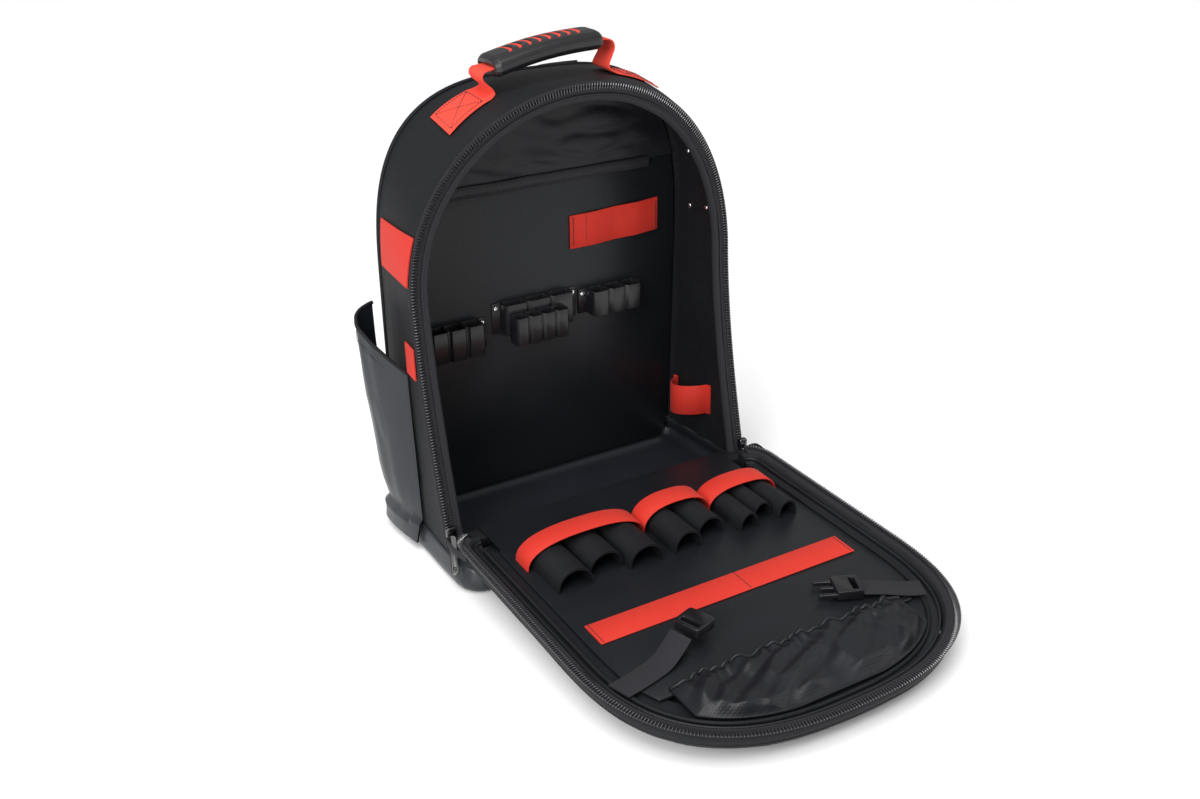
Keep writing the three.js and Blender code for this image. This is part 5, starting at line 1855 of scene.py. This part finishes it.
    def sleeve(self, number: int, start: float, width: float, mouth: float, rise: float) -> None:
        """One sleeve, arched from side to side and open at its mouth.

        Args:
            number: Its number from the left.
            start: Where its left side stands.
            width: Its width.
            mouth: Where its mouth is.
            rise: Its height as a share of the full height.
        """
        bench, half = self.bench, width / 2
        middle = start + half
        sections = []
        for i in range(19):
            y = mix(self.sleeve_rear, mouth, i / 18)
            swell = 0.85 + 0.17 * min(i / 9, 1)
            floor = DOOR.board_top(y) + GAP
            lip = 0.7 if i in (17, 18) else 0
            section = []
            for inset in (-lip, self.sleeve_wall):
                arc = []
                for n in range(25):
                    t = math.pi * n / 24
                    up = (self.sleeve_rise * rise * swell - inset) * max(math.sin(t), 0) ** 0.83
                    wave = 0.5 * noise.noise(Vector((n * 0.3, y * 0.07, number * 3.1)))
                    x = middle - (half - max(inset, 0)) * math.cos(t)
                    arc.append(Vector((x, y, floor + max(up + wave * math.sin(t), 0))))
                section += arc if inset <= 0 else list(reversed(arc))
            sections.append(section)
        piece = bench.loft(f"soft_sleeve_{number}", sections, angle=60)
        bench.keep(piece, WOVEN, f"sleeve_{number}")
        bench.cloth(piece, [section[:25] for section in sections], "folded", "door_inner_board")

    def bands(self) -> None:
        """The red band that arches over the sleeves in three spans."""
        bench = self.bench
        path = []
        for left, right, _, rise in self.spans:
            middle, half = (left + right) / 2, (right - left) / 2
            for k in range(1 if path else 0, 25):
                u = -math.cos(k / 24 * math.pi)
                up = self.band_rise * rise * max(1 - abs(u) ** 2.5, 0) ** 0.4
                path.append(Vector((middle + half * u, self.band_y, DOOR.board_top(self.band_y) + 0.7 + up)))
        sections = []
        half = self.band_width / 2
        for k, point in enumerate(path):
            way = path[min(k + 1, len(path) - 1)] - path[max(k - 1, 0)]
            up = Vector((-way.z, 0, way.x)).normalized() * self.band_thick
            section = []
            for a, b in self.band_section:
                section.append(point + Vector((0, half * a, DOOR.slope * half * a)) + up * b)
            sections.append(section)
        bench.keep(bench.loft("arched_elastic", sections, angle=50), RED_FLAT, "arched_band")

    def flat_tape(self) -> None:
        """The flat red tape across the board, sewn down in three places."""
        bench = self.bench
        line = []
        for k in range(41):
            x = mix(-self.tape_half, self.tape_half, k / 40)
            line.append(Vector((x, self.tape_y, DOOR.board_top(self.tape_y) + 0.4)))
        tape = bench.ribbon("flat_elastic", line, Vector((0, 1, DOOR.slope)), self.tape_width, 1.3)
        bench.keep(tape, RED_FLAT, "flat_tape")
        seams = []
        for x in (-self.tape_half + 3, 20, self.tape_half - 3):
            ends = [self.tape_y + s * self.tape_width * 0.47 for s in (-1, 1)]
            seams.append([Vector((x, y, DOOR.board_top(y) + 1.9)) for y in ends])
        bench.stitch("flat_seams", seams, UP, 3)

    def gathered(self) -> None:
        """The slack pocket at the far end, gathered by the elastic in its hem."""
        bench = self.bench
        edge = [(x, y) for x, y in DOOR.loop(22) if x <= 0.01]
        far = min(y for _, y in edge) + 2
        rows = []
        steps, wide = self.pocket_steps
        for i in range(steps + 1):
            near = i / steps
            y = mix(self.hem, far, near)
            k = next(n for n, (_, value) in enumerate(edge) if n > 12 and value <= y)
            (ax, ay), (bx, by) = edge[k - 1], edge[k]
            half = min(self.pocket_half, -(ax + (bx - ax) * (y - ay) / (by - ay)))
            rows.append([self.pocket_point(2 * n / wide - 1, near, half, y) for n in range(wide + 1)])
        hem = [p + Vector((0, 0.8, 0.2)) for p in rows[0]]
        cloth = bench.keep(bench.sheet("slack_pocket", rows, 1.5, 80), NYLON, "gathered_pocket")
        bench.cloth(cloth, rows, "gathered", "door_inner_board")
        bench.keep(bench.tube("pocket_hem", hem, 2.1), NYLON)

    def pocket_point(self, u: float, near: float, half: float, y: float) -> Vector:
        """A point of the gathered cloth, with the hem's ruffles and the creases of its body.

        Args:
            u: The place across the pocket, from -1 at the left to 1.
            near: The place from the hem, 0, to the sewn end, 1.
            half: Half of the pocket's width there.
            y: The depth of the row.

        Returns:
            The point.
        """
        x = half * u
        hold = min(1, 7 * (1 - abs(u))) * min(1, 5 * (1 - near))
        sewn = hold * hold * (3 - 2 * hold)
        ruffle = math.sin(u * 58 + 2.6 * math.sin(u * 9)) * math.exp(-near * 6) * 1.7
        long, short = 0.88 * x + 0.47 * y, 0.88 * y - 0.47 * x
        wander = noise.noise(Vector((long / 80, short / 60, 2)))
        crease = 1 - 2.4 * abs(noise.noise(Vector((long / 48, short / 21 + wander, 5))))
        fold = 3.4 * crease + 1.3 * math.cos(short / 3.1 + 5 * wander)
        broad = 3.4 * noise.noise(Vector((long / 60, short / 30, 7)))
        body = min(near * 5, 1)
        rise = 4.6 + 3.6 * math.sin(math.pi * near) + ruffle + (fold + broad) * body
        ledge = max(DOOR.rim_top(y) - 7.9 - DOOR.board_top(y), 0) * min(near * 2, 1)
        z = DOOR.board_top(y) + 1.9 + mix(GAP + ledge, max(rise, 0.5) + ledge * 0.6, sewn)
        shift = 2.2 * math.sin(u * 23) * math.exp(-near * 8)
        return Vector((x, y + shift * sewn, z))

    def straps(self) -> None:
        """The two loose straps with the two halves of their buckle."""
        bench = self.bench
        for name, rows, flip in (("left", self.left_strap, 1), ("right", self.right_strap, -1)):
            path = smooth_path([Vector((x, y, DOOR.board_top(y) + up)) for x, y, up in rows], 8)
            way = path[-1] - path[0]
            wide = Vector((-way.y, way.x, 0)).normalized()
            strap = bench.ribbon(f"loose_strap_{name}", path, wide * flip, self.strap, 1.5, flip)
            bench.keep(strap, BLACK_WEB, f"board_strap_{name}")
        for node in ("buckle_socket", "buckle_plug"):
            bench.keep(bench.moulded(node, f"clip_{node[7:]}", 0.9), PLASTIC, node)


@dataclass
class Pulls:
    """The two zip sliders with their hanging pulls."""

    bench: Bench

    def build(self) -> None:
        """Rounds the sliders' and the pulls' edges and dresses them."""
        for side in Side:
            slider = self.bench.moulded(f"zip_slider_{side.word}", f"slider_{side.word}", 1.0)
            self.bench.keep(slider, GUNMETAL, f"zip_slider_{side.word}")
            pull = self.bench.moulded(f"zip_pull_{side.word}", f"pull_{side.word}", 0.6)
            self.bench.keep(pull, PLASTIC, f"zip_pull_{side.word}")
            self.loose_tape(side)

    def loose_tape(self, side: Side) -> None:
        """The free stretch of tape between a slider and the door's edge.

        Args:
            side: Which slider.
        """
        low, high = (corner / MM - self.bench.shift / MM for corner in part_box(f"zip_slider_{side.word}"))
        rim = DOOR.line(-3.4, 3.5)
        if side is Side.RIGHT:
            rim = list(reversed(rim))
        near = next(k for k, p in enumerate(rim) if p.y < low.y - 42)
        end, start = rim[near], (low + high) / 2
        outer = max(abs(end.x), abs(start.x)) + 3
        rows = [start + Vector((0, -3, -8))]
        for x, run, drop in ((outer, 0.25, 0.6), (outer + 1, 0.6, 0.86)):
            rows.append(Vector((side.value * x, mix(start.y, end.y, run), mix(start.z, end.z, drop))))
        path = smooth_path([*rows, end], 8)
        piece = self.bench.ribbon(f"loose_tape_{side.word}", path, Vector((0, 0.25, 1)), 8, 1.3, side.value)
        self.bench.keep(piece, BLACK_WEB)


# The room


@dataclass(frozen=True)
class Panel:
    """A square soft light: where it stands and its edge, in metres, and its power in watts."""

    name: str
    place: tuple[float, float, float]
    size: float
    power: float


@dataclass
class Studio:
    """A pale floor, soft light and the camera at the photograph's angle."""

    bench: Bench
    azimuth: float = -31.237
    elevation: float = 25.528
    roll: float = -0.54
    distance: float = 1271.05
    target: tuple[float, float, float] = (-56.465, -77.038, 195.056)
    lens: float = 40.482
    sensor: float = 36
    floor_radius: float = 9
    floor_under: float = 0.0004
    room: float = 0.4
    sun: float = 2.3
    sun_width: float = 50
    sun_turn: tuple[float, float] = (12, -14)
    panels: tuple[Panel, ...] = (
        Panel("key", (-1.7, -1.1, 1.2), 1.0, 34), Panel("fill", (1.8, -1.2, 1.0), 1.2, 8))
    aim: tuple[float, float, float] = (0, 0, 0.2)

    def build(self) -> None:
        """Makes camera, floor, world and lights."""
        self.camera()
        self.floor()
        self.world()
        self.lights()

    def camera(self) -> None:
        """The camera, with its small roll."""
        a, e = math.radians(self.azimuth), math.radians(self.elevation)
        back = Vector((math.sin(a) * math.cos(e), -math.cos(a) * math.cos(e), math.sin(e)))
        data = bpy.data.cameras.new("camera")
        data.lens = self.lens
        data.sensor_width = self.sensor
        data.clip_start, data.clip_end = 0.05, 50
        camera = bpy.data.objects.new("camera", data)
        bpy.context.scene.collection.objects.link(camera)
        turn = (-back).to_track_quat("-Z", "Y").to_matrix().to_4x4()
        roll = Matrix.Rotation(math.radians(self.roll), 4, "Z")
        place = self.bench.at(Vector(self.target) + back * self.distance)
        camera.matrix_world = Matrix.Translation(place) @ turn @ roll
        bpy.context.scene.camera = camera

    def floor(self) -> None:
        """The pale floor, a wide disc just under the bag."""
        bpy.ops.object.select_all(action="DESELECT")
        bpy.ops.mesh.primitive_circle_add(
            vertices=96, radius=self.floor_radius, fill_type="NGON", location=(0, 0, -self.floor_under))
        floor = bpy.context.object
        floor.name = "floor"
        paint = bpy.data.materials.new("floor_paint")
        paint.use_nodes = True
        w = Wiring(paint.node_tree)
        shader = paint.node_tree.nodes["Principled BSDF"]
        shader.inputs["Specular IOR Level"].default_value = 0.1
        shader.inputs["Roughness"].default_value = 0.9
        where = paint.node_tree.nodes.new("ShaderNodeTexCoord")
        tone = w.tint(w.noise(where.outputs["Object"], 3), (0.90, 0.90, 0.90), (0.94, 0.94, 0.94))
        paint.node_tree.links.new(tone, shader.inputs["Base Color"])
        floor.data.materials.append(paint)
        floor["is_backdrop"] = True

    def world(self) -> None:
        """A pale room that lights the bag softly and shows the camera plain white."""
        world = bpy.data.worlds.new("room")
        world.use_nodes = True
        tree = world.node_tree
        glow = tree.nodes["Background"]
        glow.inputs["Color"].default_value = (1, 1, 1, 1)
        glow.inputs["Strength"].default_value = self.room
        backdrop = tree.nodes.new("ShaderNodeBackground")
        backdrop.inputs["Color"].default_value = (1, 1, 1, 1)
        ray = tree.nodes.new("ShaderNodeLightPath")
        both = tree.nodes.new("ShaderNodeMixShader")
        tree.links.new(ray.outputs["Is Camera Ray"], both.inputs[0])
        tree.links.new(glow.outputs[0], both.inputs[1])
        tree.links.new(backdrop.outputs[0], both.inputs[2])
        tree.links.new(both.outputs[0], tree.nodes["World Output"].inputs["Surface"])
        bpy.context.scene.world = world

    def lights(self) -> None:
        """A wide soft light from above and two panels."""
        sky = bpy.data.lights.new("sky", "SUN")
        sky.energy = self.sun
        sky.angle = math.radians(self.sun_width)
        above = bpy.data.objects.new("sky", sky)
        above.rotation_euler = (*(math.radians(turn) for turn in self.sun_turn), 0)
        bpy.context.scene.collection.objects.link(above)
        for panel in self.panels:
            data = bpy.data.lights.new(panel.name, "AREA")
            data.size = panel.size
            data.energy = panel.power
            light = bpy.data.objects.new(panel.name, data)
            light.location = panel.place
            aim = Vector(self.aim) - Vector(panel.place)
            light.rotation_euler = aim.to_track_quat("-Z", "Y").to_euler()
            bpy.context.scene.collection.objects.link(light)


def main() -> None:
    """Builds every sub-assembly in order."""
    logging.basicConfig(level=logging.INFO, format="%(name)s: %(message)s")
    bench = Bench()
    for kind in (Shell, Inside, Outside, Handle, Harness, Door, Pulls):
        kind(bench).build()
    Studio(bench).build()
    bpy.context.scene.view_settings.view_transform = "Standard"


if __name__ == "__main__":
    main()
